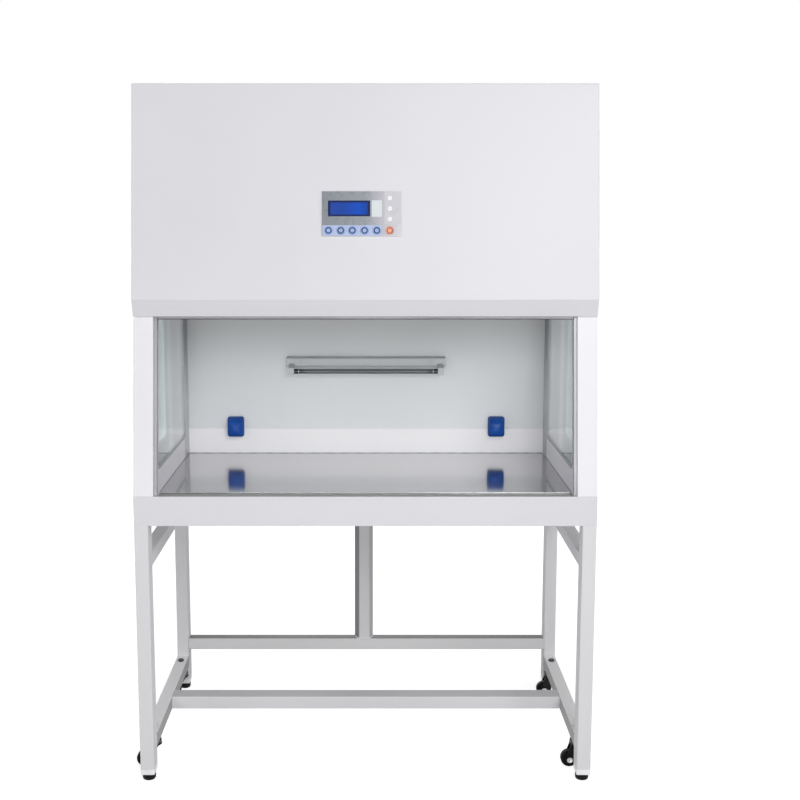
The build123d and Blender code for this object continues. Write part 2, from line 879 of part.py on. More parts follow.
def impeller():
    """Forward-curved fan wheel: two end rings, a middle disc, a hub and its blades."""
    half = fan_width / 2 - impeller_end_gap
    sweep = radians(blade_sweep)
    inner = (impeller_inner, 0)
    outer = (impeller_outer * cos(sweep), impeller_outer * sin(sweep))
    middle = ((inner[0] + outer[0]) / 2, (inner[1] + outer[1]) / 2)
    bulge = (middle[0] + blade_bulge[0], middle[1] + blade_bulge[1])
    top = [(p[0] + blade_skin[0], p[1] + blade_skin[1]) for p in (inner, bulge, outer)]
    blade = make_face(
        ThreePointArc(inner, bulge, outer)
        + Line(outer, top[2])
        + ThreePointArc(top[2], top[1], top[0])
        + Line(top[0], inner)
    )
    blades = Sketch() + [Rot(0, 0, i * 360 / blade_count) * blade for i in range(blade_count)]
    ring = Circle(impeller_outer) - Circle(impeller_inner - impeller_ring)
    disc = Circle(impeller_outer) - Circle(shaft_radius + running_gap)
    hub = Circle(hub_radius) - Circle(shaft_radius + running_gap)
    wheel = Part() + [
        extrude(Pos(0, 0, -half) * blades, amount=2 * half),
        extrude(Pos(0, 0, -half) * ring, amount=impeller_ring),
        extrude(Pos(0, 0, half - impeller_ring) * ring, amount=impeller_ring),
        extrude(Pos(0, 0, -impeller_ring / 2) * disc, amount=impeller_ring),
        extrude(Pos(0, 0, -hub_length / 2) * hub, amount=hub_length),
    ]
    return Pos(0, fan_y, fan_z) * Plane.YZ.location * wheel


def blower_motor():
    """Motor inside the fan wheel, carried by three arms on the casing's left side."""
    side = -fan_width / 2
    plane = Plane.YZ.offset(side - spider_thickness)
    centre = Pos(fan_y, fan_z)
    body_length = -motor_to_disc - side + spider_thickness
    motor = extrude(plane * centre * Circle(motor_radius), amount=body_length)
    motor += extrude(
        plane * centre * Circle(shaft_radius), amount=body_length + motor_to_disc + hub_length / 2
    )
    for i in range(spider_arms):
        arm = Rot(0, 0, spider_first_angle + i * 360 / spider_arms) * Pos(spider_reach / 2, 0)
        face = centre * arm * Rectangle(spider_reach, spider_arm)
        motor += extrude(plane * face, amount=spider_thickness)
    return motor


# ---------------------------------------------------------------- lamps
uv_z = worktop_z + uv_above_worktop
uv_tube_y = wall_y - uv_tube_forward
uv_tube_z = uv_z - uv_tube_drop
uv_holder_x = uv_length / 2 - uv_holder_inset
uv_tube_half = uv_holder_x - uv_holder_width


def uv_lamp_housing():
    """Lamp housing on the back wall with a holder at each end."""
    y = (wall_y - uv_housing_depth, wall_y)
    half = uv_length / 2
    housing = block((-half, half), y, (uv_z, uv_z + uv_housing_height))
    housing = fillet(housing.edges().filter_by(Axis.X).group_by(Axis.Y)[0], uv_housing_edge)
    margin = uv_tube_radius + uv_holder_wall
    outline = [
        (y[0] + margin, uv_z + uv_housing_height / 2),
        (uv_tube_y - margin, uv_z),
        (uv_tube_y - margin, uv_tube_z - margin),
        (uv_tube_y + margin, uv_tube_z - margin),
        (y[0] + margin, uv_z),
    ]
    holder = along_x(side_view_face(outline), (uv_tube_half, uv_holder_x))
    for dz in (-uv_pin_half_pitch, uv_pin_half_pitch):
        hole = Plane.YZ.offset(uv_tube_half) * Pos(uv_tube_y, uv_tube_z + dz)
        holder -= extrude(hole * Circle(uv_pin_radius + running_gap), amount=uv_pin_length)
    return housing + both_sides(holder)


def uv_lamp_tube():
    """Glass tube with a metal cap and two pins at each end."""
    plane = Plane.YZ.offset(-uv_tube_half) * Pos(uv_tube_y, uv_tube_z)
    tube = extrude(plane * Circle(uv_tube_radius - uv_cap_step), amount=2 * uv_tube_half)
    cap = extrude(plane * Circle(uv_tube_radius), amount=uv_cap_length)
    tube += both_sides(cap)
    for dz in (-uv_pin_half_pitch, uv_pin_half_pitch):
        start = Plane.YZ.offset(-uv_tube_half - uv_pin_length)
        pin = start * Pos(uv_tube_y, uv_tube_z + dz) * Circle(uv_pin_radius)
        tube += extrude(pin, amount=2 * (uv_tube_half + uv_pin_length))
    return tube


def work_lamp():
    """Sealed lighting strip under the front edge of the ceiling."""
    y = (diffuser_front, diffuser_front + work_lamp_depth)
    z = (ceiling_z - work_lamp_height, ceiling_z)
    strip = block((-work_lamp_length / 2, work_lamp_length / 2), y, z)
    return fillet(strip.edges().filter_by(Axis.X).group_by(Axis.Z)[0], work_lamp_edge)


# ---------------------------------------------------------------- sockets
socket_z = worktop_z + socket_above_worktop
lid_axis_y = -socket_depth - lid_axis_forward
lid_axis_z = socket_height / 2 - lid_axis_drop
lid_back = -socket_depth - lid_gap
lid_top_depth = lid_axis_y - lid_barrel_radius


def socket_base():
    """Wall socket with a round well, three contact holes and two hinge lugs."""
    plate = Plane.XZ * RectangleRounded(socket_width, socket_height, socket_corner)
    base = extrude(plate, amount=socket_depth)
    base = fillet(base.faces().sort_by(Axis.Y)[0].edges(), socket_edge)
    floor_depth = socket_depth - socket_well_depth
    well = Plane.XZ.offset(floor_depth) * Pos(0, -socket_well_drop)
    base -= extrude(well * Circle(socket_well_radius), amount=socket_well_depth)
    deep = Plane.XZ.offset(floor_depth - contact_depth) * Pos(0, -socket_well_drop)
    for x, z in contact_places:
        base -= extrude(deep * Pos(x, z) * Circle(contact_radius), amount=contact_depth)
    start = lid_barrel_length / 2 + lug_end_gap
    ear = [
        (-socket_depth + lug_root, lid_axis_z - lid_barrel_radius),
        (lid_axis_y, lid_axis_z - lid_barrel_radius),
        (lid_axis_y, lid_axis_z + lid_barrel_radius),
        (-socket_depth + lug_root, lid_axis_z + lid_barrel_radius),
    ]
    nose = Plane.YZ.offset(start) * Pos(lid_axis_y, lid_axis_z) * Circle(lid_barrel_radius)
    lug = along_x(side_view_face(ear), (start, start + lug_thickness))
    lug += extrude(nose, amount=lug_thickness)
    base += both_sides(lug)
    pin = Plane.YZ.offset(-start) * Pos(lid_axis_y, lid_axis_z) * Circle(lid_pin_radius)
    return base + extrude(pin, amount=2 * start)


def lid_outline(inset):
    """Front view of the lid: straight foot, rounded shoulders and a domed top."""
    half = lid_width / 2 - inset
    bottom = lid_axis_z - lid_height + inset
    shoulder = lid_axis_z - lid_shoulder_drop
    top = lid_axis_z - inset
    corner = socket_corner - inset
    outline = (
        Line((-half + corner, bottom), (half - corner, bottom))
        + RadiusArc((half - corner, bottom), (half, bottom + corner), -corner)
        + Line((half, bottom + corner), (half, shoulder))
        + Spline(
            (half, shoulder), (0, top), (-half, shoulder),
            tangents=((0, 1), (0, -1)),
        )
        + Line((-half, shoulder), (-half, bottom + corner))
        + RadiusArc((-half, bottom + corner), (-half + corner, bottom), -corner)
    )
    return make_face(outline)


def lid_body(inset):
    """The lid's outline rounded over its front, from side to side and from top to bottom."""
    outline = extrude(Plane.XZ.offset(-lid_back) * lid_outline(inset), amount=lid_depth)
    deep, shallow = lid_back - lid_depth + inset, lid_back - lid_edge_depth + inset
    high, low = lid_axis_z - inset, lid_axis_z - lid_height + inset
    half = lid_width / 2 - inset
    middle = (high + low) / 2
    side = (
        Line((lid_back, high), (lid_top_depth + inset, high))
        + ThreePointArc((lid_top_depth + inset, high), (deep, middle), (shallow, low))
        + Polyline((shallow, low), (lid_back, low), (lid_back, high))
    )
    plan = (
        Line((-half, lid_back), (-half, shallow))
        + ThreePointArc((-half, shallow), (0, deep), (half, shallow))
        + Polyline((half, shallow), (half, lid_back), (-half, lid_back))
    )
    across = along_x(make_face(side), (-half, half))
    upright = extrude(Pos(0, 0, low) * make_face(plan), amount=high - low)
    return outline & across & upright


def socket_lid():
    """Domed flip lid, hollow behind, with its hinge barrel."""
    shell = lid_body(0) - lid_body(lid_wall)
    start = -lid_barrel_length / 2
    axis = Pos(lid_axis_y, lid_axis_z)
    ear_start = lid_barrel_length / 2
    ear_end = ear_start + lug_thickness + 2 * lug_end_gap
    room = lid_barrel_radius + lid_gap
    for side in (-1, 1):
        shell -= block(
            sorted((side * ear_start, side * ear_end)),
            (lid_axis_y - room, lid_back),
            (lid_axis_z - room - lid_wall, lid_axis_z + room),
        )
    barrel = Plane.YZ.offset(start) * axis * Circle(lid_barrel_radius)
    shell += extrude(barrel, amount=lid_barrel_length)
    bore = Plane.YZ.offset(start) * axis * Circle(lid_pin_radius + running_gap)
    return shell - extrude(bore, amount=lid_barrel_length)


def at_socket(piece, side):
    """Place a socket piece on the back wall."""
    return Pos(side * socket_x, wall_y - band_proud, socket_z) * piece


# ---------------------------------------------------------------- controls
def control_plate():
    """Front plate with its display window, key holes, lamp holes and board standoffs."""
    plate = extrude(
        RectangleRounded(panel_width, panel_height, panel_corner), amount=panel_thickness
    )
    plate = fillet(plate.faces().sort_by(Axis.Z)[-1].edges(), panel_edge)
    window = Pos(lcd_x, lcd_y) * Rectangle(lcd_width, lcd_height)
    plate -= extrude(window, amount=panel_thickness)
    for x in key_x:
        hole = Pos(x, key_y) * Circle(key_radius + key_hole_gap)
        plate -= extrude(hole, amount=panel_thickness)
    for y in led_y:
        hole = Pos(led_x, y) * Circle(led_radius + running_gap)
        plate -= extrude(hole, amount=panel_thickness)
    length = board_depth - board_thickness
    reach_x = panel_width / 2 - panel_lap - board_margin - standoff_radius
    reach_y = panel_height / 2 - panel_lap - board_margin - standoff_radius
    lower_y = key_y + key_radius + key_flange + standoff_radius + standoff_gap
    for x in (-reach_x, reach_x):
        for y in (lower_y, reach_y):
            plate += extrude(Pos(x, y) * Circle(standoff_radius), amount=-length)
    return hood_panel_plane * plate


def display_board():
    """Circuit board with the display module, three indicator lamps and six key switches."""
    width = panel_width - 2 * panel_lap - 2 * board_margin
    height = panel_height - 2 * panel_lap - 2 * board_margin
    face_z = -board_depth + board_thickness
    board = extrude(Pos(0, 0, -board_depth) * Rectangle(width, height), amount=board_thickness)
    lcd = Pos(lcd_x, lcd_y, face_z) * Rectangle(lcd_width, lcd_height)
    board += extrude(lcd, amount=panel_thickness - lcd_sink - face_z)
    for y in led_y:
        lamp = extrude(
            Pos(led_x, y, face_z) * Circle(led_radius), amount=panel_thickness + led_proud - face_z
        )
        board += fillet(lamp.edges().group_by(Axis.Z)[-1], led_dome)
    switch_top = -key_stem_length - key_travel - switch_gap
    for x in key_x:
        switch = Pos(x, key_y, face_z) * Rectangle(switch_size, switch_size)
        board += extrude(switch, amount=switch_top - face_z)
    return hood_panel_plane * board


def control_key(x):
    """Round key with a domed cap, a retaining flange and a stem."""
    seat = Pos(x, key_y)
    length = panel_thickness + key_proud + key_flange_thickness + key_flange_gap
    low = -key_flange_thickness - key_flange_gap
    cap = extrude(Pos(0, 0, low) * Circle(key_radius), amount=length)
    cap = fillet(cap.edges().group_by(Axis.Z)[-1], key_edge)
    flange = Pos(0, 0, low) * Circle(key_radius + key_flange)
    cap += extrude(flange, amount=key_flange_thickness)
    stem = Pos(0, 0, -key_stem_length) * Circle(key_stem_radius)
    cap += extrude(stem, amount=key_stem_length)
    return hood_panel_plane * seat * cap


# ---------------------------------------------------------------- all pieces
def build_all():
    """Build every piece and write one file for each node."""
    os.makedirs("parts", exist_ok=True)
    corners = {
        "front_left": (-1, -1),
        "front_right": (1, -1),
        "rear_left": (-1, 1),
        "rear_right": (1, 1),
    }
    write("leg_end_plugs", [leg_plug(i * leg_x, j * leg_y) for i, j in corners.values()])
    fork, wheel, pivot = caster_fork(), caster_wheel(), caster_pivot()
    pivots = []
    for name, (i, j) in corners.items():
        write(f"{name}_leg", leg(i * leg_x, j * leg_y))
        write(f"{name}_levelling_foot", levelling_foot(i * leg_x, j * leg_y))
        spot = Pos(i * leg_x, j * caster_y, 0)
        pivots.append(spot * pivot)
        write(f"{name}_caster_fork", spot * fork)
        write(f"{name}_caster_wheel", spot * wheel)
    write("caster_pivots", pivots)
    write("lower_side_rails", [lower_side_rail(side) for side in (-1, 1)])
    upper_rails = [bar_y(i * leg_x, (-leg_inner_y, leg_inner_y), upper_rail_top) for i in (-1, 1)]
    write("upper_side_rails", upper_rails)
    across = (-leg_inner_x, leg_inner_x)
    rear_rail_y = leg_inner_y + rail / 2
    write("rear_upper_rail", bar_x(across, rear_rail_y, upper_rail_top))
    write("rear_lower_rail", bar_x(across, rear_rail_y, rear_lower_rail_top))
    cross_y = front + cross_rail_setback
    write("middle_cross_rail", bar_x(across, cross_y, lower_rail_top, cross_rail_depth))
    write("centre_post", centre_post())
    write("base_tray", base_tray())
    write("worktop", worktop())
    right_panel, right_glass = side_panel(), side_glass()
    write("right_side_panel", right_panel)
    write("left_side_panel", mirror(right_panel, Plane.YZ))
    write("right_side_glass", right_glass)
    write("left_side_glass", mirror(right_glass, Plane.YZ))
    write("sash_guides", both_sides(sash_guide()))
    write("sash_glass", sash_glass())
    write("sash_handle", sash_handle())
    write("back_wall", back_wall())
    write("rear_panel", rear_panel())
    write("hood_front_panel", hood_front_panel())
    write("top_cover", top_cover())
    write("prefilter", prefilter())
    write("mains_inlet", mains_inlet())
    write("diffuser", diffuser())
    write("hepa_filter", hepa_filter())
    write("blower_housing", blower_housing())
    write("blower_motor", blower_motor())
    write("blower_impeller", impeller())
    write("uv_lamp_housing", uv_lamp_housing())
    write("uv_lamp_tube", uv_lamp_tube())
    write("work_lamp", work_lamp())
    base, lid = socket_base(), socket_lid()
    for name, side in (("left", -1), ("right", 1)):
        write(f"{name}_socket_base", at_socket(base, side))
        write(f"{name}_socket_lid", at_socket(lid, side))
    write("control_plate", control_plate())
    write("display_board", display_board())
    for number, x in enumerate(key_x, start=1):
        write(f"control_key_{number}", control_key(x))


build_all()
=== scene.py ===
"""Looks of the clean bench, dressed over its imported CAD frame. Metres, in the frame's own axes."""
import math
import bmesh
import bpy
from mathutils import Matrix, Vector


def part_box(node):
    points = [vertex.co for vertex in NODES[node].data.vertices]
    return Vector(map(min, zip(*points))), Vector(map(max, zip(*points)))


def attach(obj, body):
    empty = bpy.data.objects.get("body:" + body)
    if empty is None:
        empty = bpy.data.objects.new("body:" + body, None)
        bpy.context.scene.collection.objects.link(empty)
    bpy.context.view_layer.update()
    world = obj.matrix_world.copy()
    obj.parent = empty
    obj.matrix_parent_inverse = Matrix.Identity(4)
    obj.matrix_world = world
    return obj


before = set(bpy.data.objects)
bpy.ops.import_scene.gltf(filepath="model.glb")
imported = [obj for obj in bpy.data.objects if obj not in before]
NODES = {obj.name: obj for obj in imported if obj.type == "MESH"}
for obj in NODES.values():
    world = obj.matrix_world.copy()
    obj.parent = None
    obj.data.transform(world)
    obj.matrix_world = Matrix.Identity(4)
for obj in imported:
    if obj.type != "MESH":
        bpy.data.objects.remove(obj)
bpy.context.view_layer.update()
CORNERS = ("front_left", "front_right", "rear_left", "rear_right")
SIDES = (("left", -1), ("right", 1))
ALL_ROUND = 2 * math.pi

TILT = math.radians(8.6)    # of the posts, the sash and the hood
SLOPE = math.tan(TILT)
POST_SETBACK = 0.002        # foot of the side panels behind the base's front
WINDOW_MARGIN = 0.036       # side window behind the sloping front edge
WINDOW_REBATE = 0.008       # glass past the window's edges
WINDOW_CORNER = 0.015
GROOVE_SETBACK = 0.006      # front wall of the groove that the sash closes into
GROOVE_DEPTH = 0.006
BAND_HEIGHT = 0.083         # proud band along the foot of the chamber's wall
CAP_LENGTH = 0.020          # metal caps of the lamp's tube


# ------------------------------------------------------------ places read from the frame
def lo_hi(name):
    """Lowest and highest corner of a node's box."""
    lo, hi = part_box(name)
    return Vector(lo), Vector(hi)


def middle_of(box):
    return (box[0] + box[1]) / 2


BASE = lo_hi("base_tray")
TOP = lo_hi("worktop")
WALL = lo_hi("back_wall")
GLASS = lo_hi("right_side_glass")
HANDLE = lo_hi("sash_handle")
REAR = lo_hi("rear_panel")
LEG = lo_hi("front_left_leg")
SIDE_RAIL = lo_hi("lower_side_rails")
UPPER_RAIL = lo_hi("upper_side_rails")
CROSS = lo_hi("middle_cross_rail")
REAR_LOW = lo_hi("rear_lower_rail")
REAR_HIGH = lo_hi("rear_upper_rail")
POST = lo_hi("centre_post")
TUBE = lo_hi("uv_lamp_tube")
PLATE = lo_hi("control_plate")
PLATE_MIDDLE = middle_of(PLATE)
MIDDLE = middle_of(BASE).x
FRONT = BASE[0].y
BENCH = TOP[1].z
CHAMBER_HALF = TOP[1].x - MIDDLE
LEG_IN, LEG_OUT = MIDDLE - LEG[1].x, MIDDLE - LEG[0].x      # a leg's sides, from the middle
LEG_INNER_Y = -LEG[1].y


def post_front(z):
    """Y of the side panels' sloping front edge at height z."""
    return FRONT + POST_SETBACK + (z - BENCH) * SLOPE


# ------------------------------------------------------------ node helpers
class Nodes:
    """A node tree with a few short ways to add nodes."""

    def __init__(self, tree):
        self.tree = tree

    def node(self, kind, **settings):
        n = self.tree.nodes.new("ShaderNode" + kind)
        for key, value in settings.items():
            setattr(n, key, value)
        return n

    def link(self, a, b):
        self.tree.links.new(a, b)

    def put(self, socket, value):
        """Set a socket from a number, a colour or another socket."""
        if isinstance(value, bpy.types.NodeSocket):
            self.link(value, socket)
        else:
            socket.default_value = value

    def maths(self, operation, a, b=0.0):
        n = self.node("Math", operation=operation)
        self.put(n.inputs[0], a)
        self.put(n.inputs[1], b)
        return n.outputs[0]

    def direct_ray(self):
        """1 for camera, transmission and glossy rays, and 0 for the others."""
        ray = self.node("LightPath").outputs
        either = self.maths("MAXIMUM", ray["Is Camera Ray"], ray["Is Transmission Ray"])
        return self.maths("MAXIMUM", either, ray["Is Glossy Ray"])


class Shader(Nodes):
    """A material round one Principled shader."""

    def __init__(self, name, **constants):
        self.mat = bpy.data.materials.new(name)
        self.mat.use_nodes = True
        super().__init__(self.mat.node_tree)
        self.bsdf = self.tree.nodes["Principled BSDF"]
        for key, value in constants.items():
            self.bsdf.inputs[key.replace("_", " ")].default_value = value

    def set(self, key, value):
        self.put(self.bsdf.inputs[key], value)

    def coords(self, scale=(1, 1, 1)):
        here = self.node("TexCoord")
        mapping = self.node("Mapping")
        mapping.inputs["Scale"].default_value = scale
        self.link(here.outputs["Object"], mapping.inputs["Vector"])
        return mapping.outputs["Vector"]

    def axes(self, vector):
        n = self.node("SeparateXYZ")
        self.link(vector, n.inputs[0])
        return n.outputs

    def normals(self):
        return self.axes(self.node("NewGeometry").outputs["True Normal"])

    def noise(self, scale, detail=4.0, rough=0.55, stretch=(1, 1, 1)):
        n = self.node("TexNoise")
        n.inputs["Scale"].default_value = scale
        n.inputs["Detail"].default_value = detail
        n.inputs["Roughness"].default_value = rough
        self.link(self.coords(stretch), n.inputs["Vector"])
        return n.outputs["Fac"]

    def span(self, value, lo, hi, to_lo, to_hi, kind="LINEAR"):
        """Map lo..hi to to_lo..to_hi, held at both ends."""
        n = self.node("MapRange", interpolation_type=kind)
        self.put(n.inputs["Value"], value)
        for key, v in (("From Min", lo), ("From Max", hi), ("To Min", to_lo), ("To Max", to_hi)):
            n.inputs[key].default_value = v
        return n.outputs["Result"]

    def mix(self, fac, a, b):
        n = self.node("Mix", data_type="RGBA")
        self.put(n.inputs["Factor"], fac)
        self.put(n.inputs["A"], a)
        self.put(n.inputs["B"], b)
        return n.outputs["Result"]

    def ramp(self, value, stops):
        n = self.node("ValToRGB")
        elements = n.color_ramp.elements
        while len(elements) < len(stops):
            elements.new(0.5)
        for element, (place, colour) in zip(elements, stops):
            element.position = place
            element.color = colour
        self.link(value, n.inputs["Fac"])
        return n.outputs["Color"]

    def bump(self, *layers, edge=0.0):
        """Stack bump layers of (height, strength, distance) over an optional rounded edge."""
        normal = None
        if edge:
            bevel = self.node("Bevel", samples=4)
            bevel.inputs["Radius"].default_value = edge
            normal = bevel.outputs["Normal"]
        for height, strength, distance in layers:
            n = self.node("Bump")
            n.inputs["Strength"].default_value = strength
            n.inputs["Distance"].default_value = distance
            self.link(height, n.inputs["Height"])
            if normal:
                self.link(normal, n.inputs["Normal"])
            normal = n.outputs["Normal"]
        self.link(normal, self.bsdf.inputs["Normal"])


# ------------------------------------------------------------ kinds of surface
BLACK = (0, 0, 0, 1)


def shade(colour, factor):
    return tuple(min(1.0, c * factor) for c in colour[:3]) + (1.0,)


def enamel(name, colour, roughness=0.38, peel=1.0, shine=0.4, retone=None):
    """Sprayed and baked paint: orange peel, a faint cloudiness and slightly uneven gloss.

    retone(s, tone) may change the finished colour.
    """
    s = Shader(name, Roughness=roughness, Specular_IOR_Level=shine)
    cloud = s.noise(3.0, 5.0)
    fine = s.noise(60.0, 3.0)
    tone = s.mix(s.span(cloud, 0.3, 0.7, 0.0, 1.0), shade(colour, 0.985), shade(colour, 1.012))
    speck = s.span(fine, 0.25, 0.75, 0.0, 0.05)
    tone = s.mix(speck, tone, shade(colour, 0.9))
    s.set("Base Color", retone(s, tone) if retone else tone)
    s.set("Roughness", s.span(cloud, 0.2, 0.8, roughness - 0.05, roughness + 0.06))
    coarse_peel = (s.noise(220.0, 2.0), 0.10 * peel, 0.0015)
    fine_peel = (s.noise(900.0, 2.0), 0.06 * peel, 0.0004)
    s.bump(coarse_peel, fine_peel, edge=0.0012)
    return s.mat


def sheet_metal(name, colour, roughness=0.2, grain=(1, 1, 1), depth=0.05, scratch=0.03):
    """Rolled stainless or galvanised sheet with a drawn grain."""
    s = Shader(name, Metallic=1.0, Roughness=roughness)
    lines = s.noise(40.0, 6.0, 0.7, grain)
    cloud = s.noise(4.0, 4.0)
    s.set("Base Color", s.mix(s.span(lines, 0.3, 0.7, 0, 1), shade(colour, 0.94), shade(colour, 1.05)))
    wide = s.maths("MULTIPLY", s.span(lines, 0.3, 0.7, 0.8, 1.25), s.span(cloud, 0.3, 0.7, 0.85, 1.2))
    s.set("Roughness", s.maths("MULTIPLY", wide, roughness))
    s.bump((lines, depth, 0.0006), (s.noise(12.0, 2.0), scratch, 0.004), edge=0.0006)
    return s.mat


def plastic(name, colour, roughness=0.35, grain=500.0, depth=0.08, shine=0.5):
    """Moulded plastic with a fine eroded texture."""
    s = Shader(name, Roughness=roughness, Specular_IOR_Level=shine)
    cloud = s.noise(25.0, 3.0)
    s.set("Base Color", s.mix(s.span(cloud, 0.3, 0.7, 0, 1), shade(colour, 0.9), shade(colour, 1.1)))
    s.set("Roughness", s.span(cloud, 0.3, 0.7, roughness - 0.05, roughness + 0.08))
    s.bump((s.noise(grain, 2.0), depth, 0.0004), edge=0.0005)
    return s.mat


def pane(name, stops):
    """Toughened glass, faintly wavy, its tint given along the depth of the bench; on the side panes the ramp
    also holds stripes of painted reflection.
    """
    s = Shader(name, Roughness=0.02, Transmission_Weight=1.0, IOR=1.5)
    depth = s.axes(s.coords())["Y"]
    s.set("Base Color", s.ramp(s.span(depth, TINT_FRONT, TINT_BACK, 0, 1), stops))
    s.bump((s.noise(6.0, 1.0), 0.02, 0.002))
    return s.mat


# ------------------------------------------------------------ materials
PAINT = (0.715, 0.704, 0.738, 1)
STAND_PAINT = (0.75, 0.743, 0.764, 1)
BAND_PAINT = (0.90, 0.893, 0.915, 1)
SASH_TINT = (0.86, 0.93, 0.92, 1)
TINT_FRONT, TINT_BACK = -0.36, 0.20     # Y where the side panes' tint and painted reflection stripes begin and end
# a real green tint with dark and bright stripes of painted reflection
SIDE_TINT_AND_REFLECTIONS = [
    (0.0, (0.34, 0.37, 0.39, 1)),
    (0.16, (0.40, 0.47, 0.47, 1)),
    (0.34, (0.62, 0.71, 0.70, 1)),
    (0.47, (0.96, 0.99, 0.99, 1)),
    (0.56, (0.74, 0.81, 0.81, 1)),
    (0.70, (0.80, 0.86, 0.86, 1)),
    (0.82, (0.99, 0.99, 0.99, 1)),
    (0.90, (0.74, 0.78, 0.80, 1)),
    (1.0, (0.95, 0.97, 0.98, 1)),
]
FOLD = 0.0135       # width of the centre post's folded edges


def wall_tone(s, tone):
    """Paler on the proud band along the wall's foot, and darkened towards its top by painted shade of the
    hood.
    """
    height = s.axes(s.coords())["Z"]
    # painted shade: the wall's colour darkens towards its top, where the hood shades it
    lit = s.span(height, BENCH + 0.26, BENCH + 0.50, 1.0, 0.62, "SMOOTHSTEP")
    band = s.maths("LESS_THAN", height, BENCH + BAND_HEIGHT)
    return s.mix(band, s.mix(lit, BLACK, tone), BAND_PAINT)


def stand_enamel(name, colour=STAND_PAINT, factor=None):
    """Stand enamel, its tone scaled by a factor built from the shader, which paints light and shade onto it.
    """
    def scaled(s, tone):
        return s.mix(factor(s), BLACK, tone)
    return enamel(name, colour, 0.5, 1.4, shine=0.1, retone=scaled if factor else None)


def painted_shade_by_facing(sides, top):
    """Painted shade: one factor for the faces that look up, and one for the others."""
    def factor(s):
        return s.span(s.normals()["Z"], 0.5, 0.9, sides, top)
    return factor


def post_factor(s):
    """The post's folded edges take less light than its flat face."""
    # painted shade: the left fold is darkened to 0.36 and the right one to 0.80
    x = s.axes(s.coords())["X"]
    left = s.span(x, POST[0].x + FOLD, POST[0].x + FOLD + 0.003, 0.36, 1.0)
    right = s.span(x, POST[1].x - FOLD, POST[1].x - FOLD + 0.002, 1.0, 0.80)
    return s.maths("MULTIPLY", left, right)


def rail_factor(s):
    """Painted shade on the rails' inner sides and painted light on their tops."""
    here = s.axes(s.coords())["X"]
    normal = s.normals()
    inward = s.maths("MULTIPLY", normal["X"], s.maths("SIGN", s.maths("SUBTRACT", MIDDLE, here)))
    side = s.span(inward, 0.5, 0.9, 0.79, 0.40)
    return s.maths("ADD", side, s.span(normal["Z"], 0.5, 0.9, 0.0, 0.21))


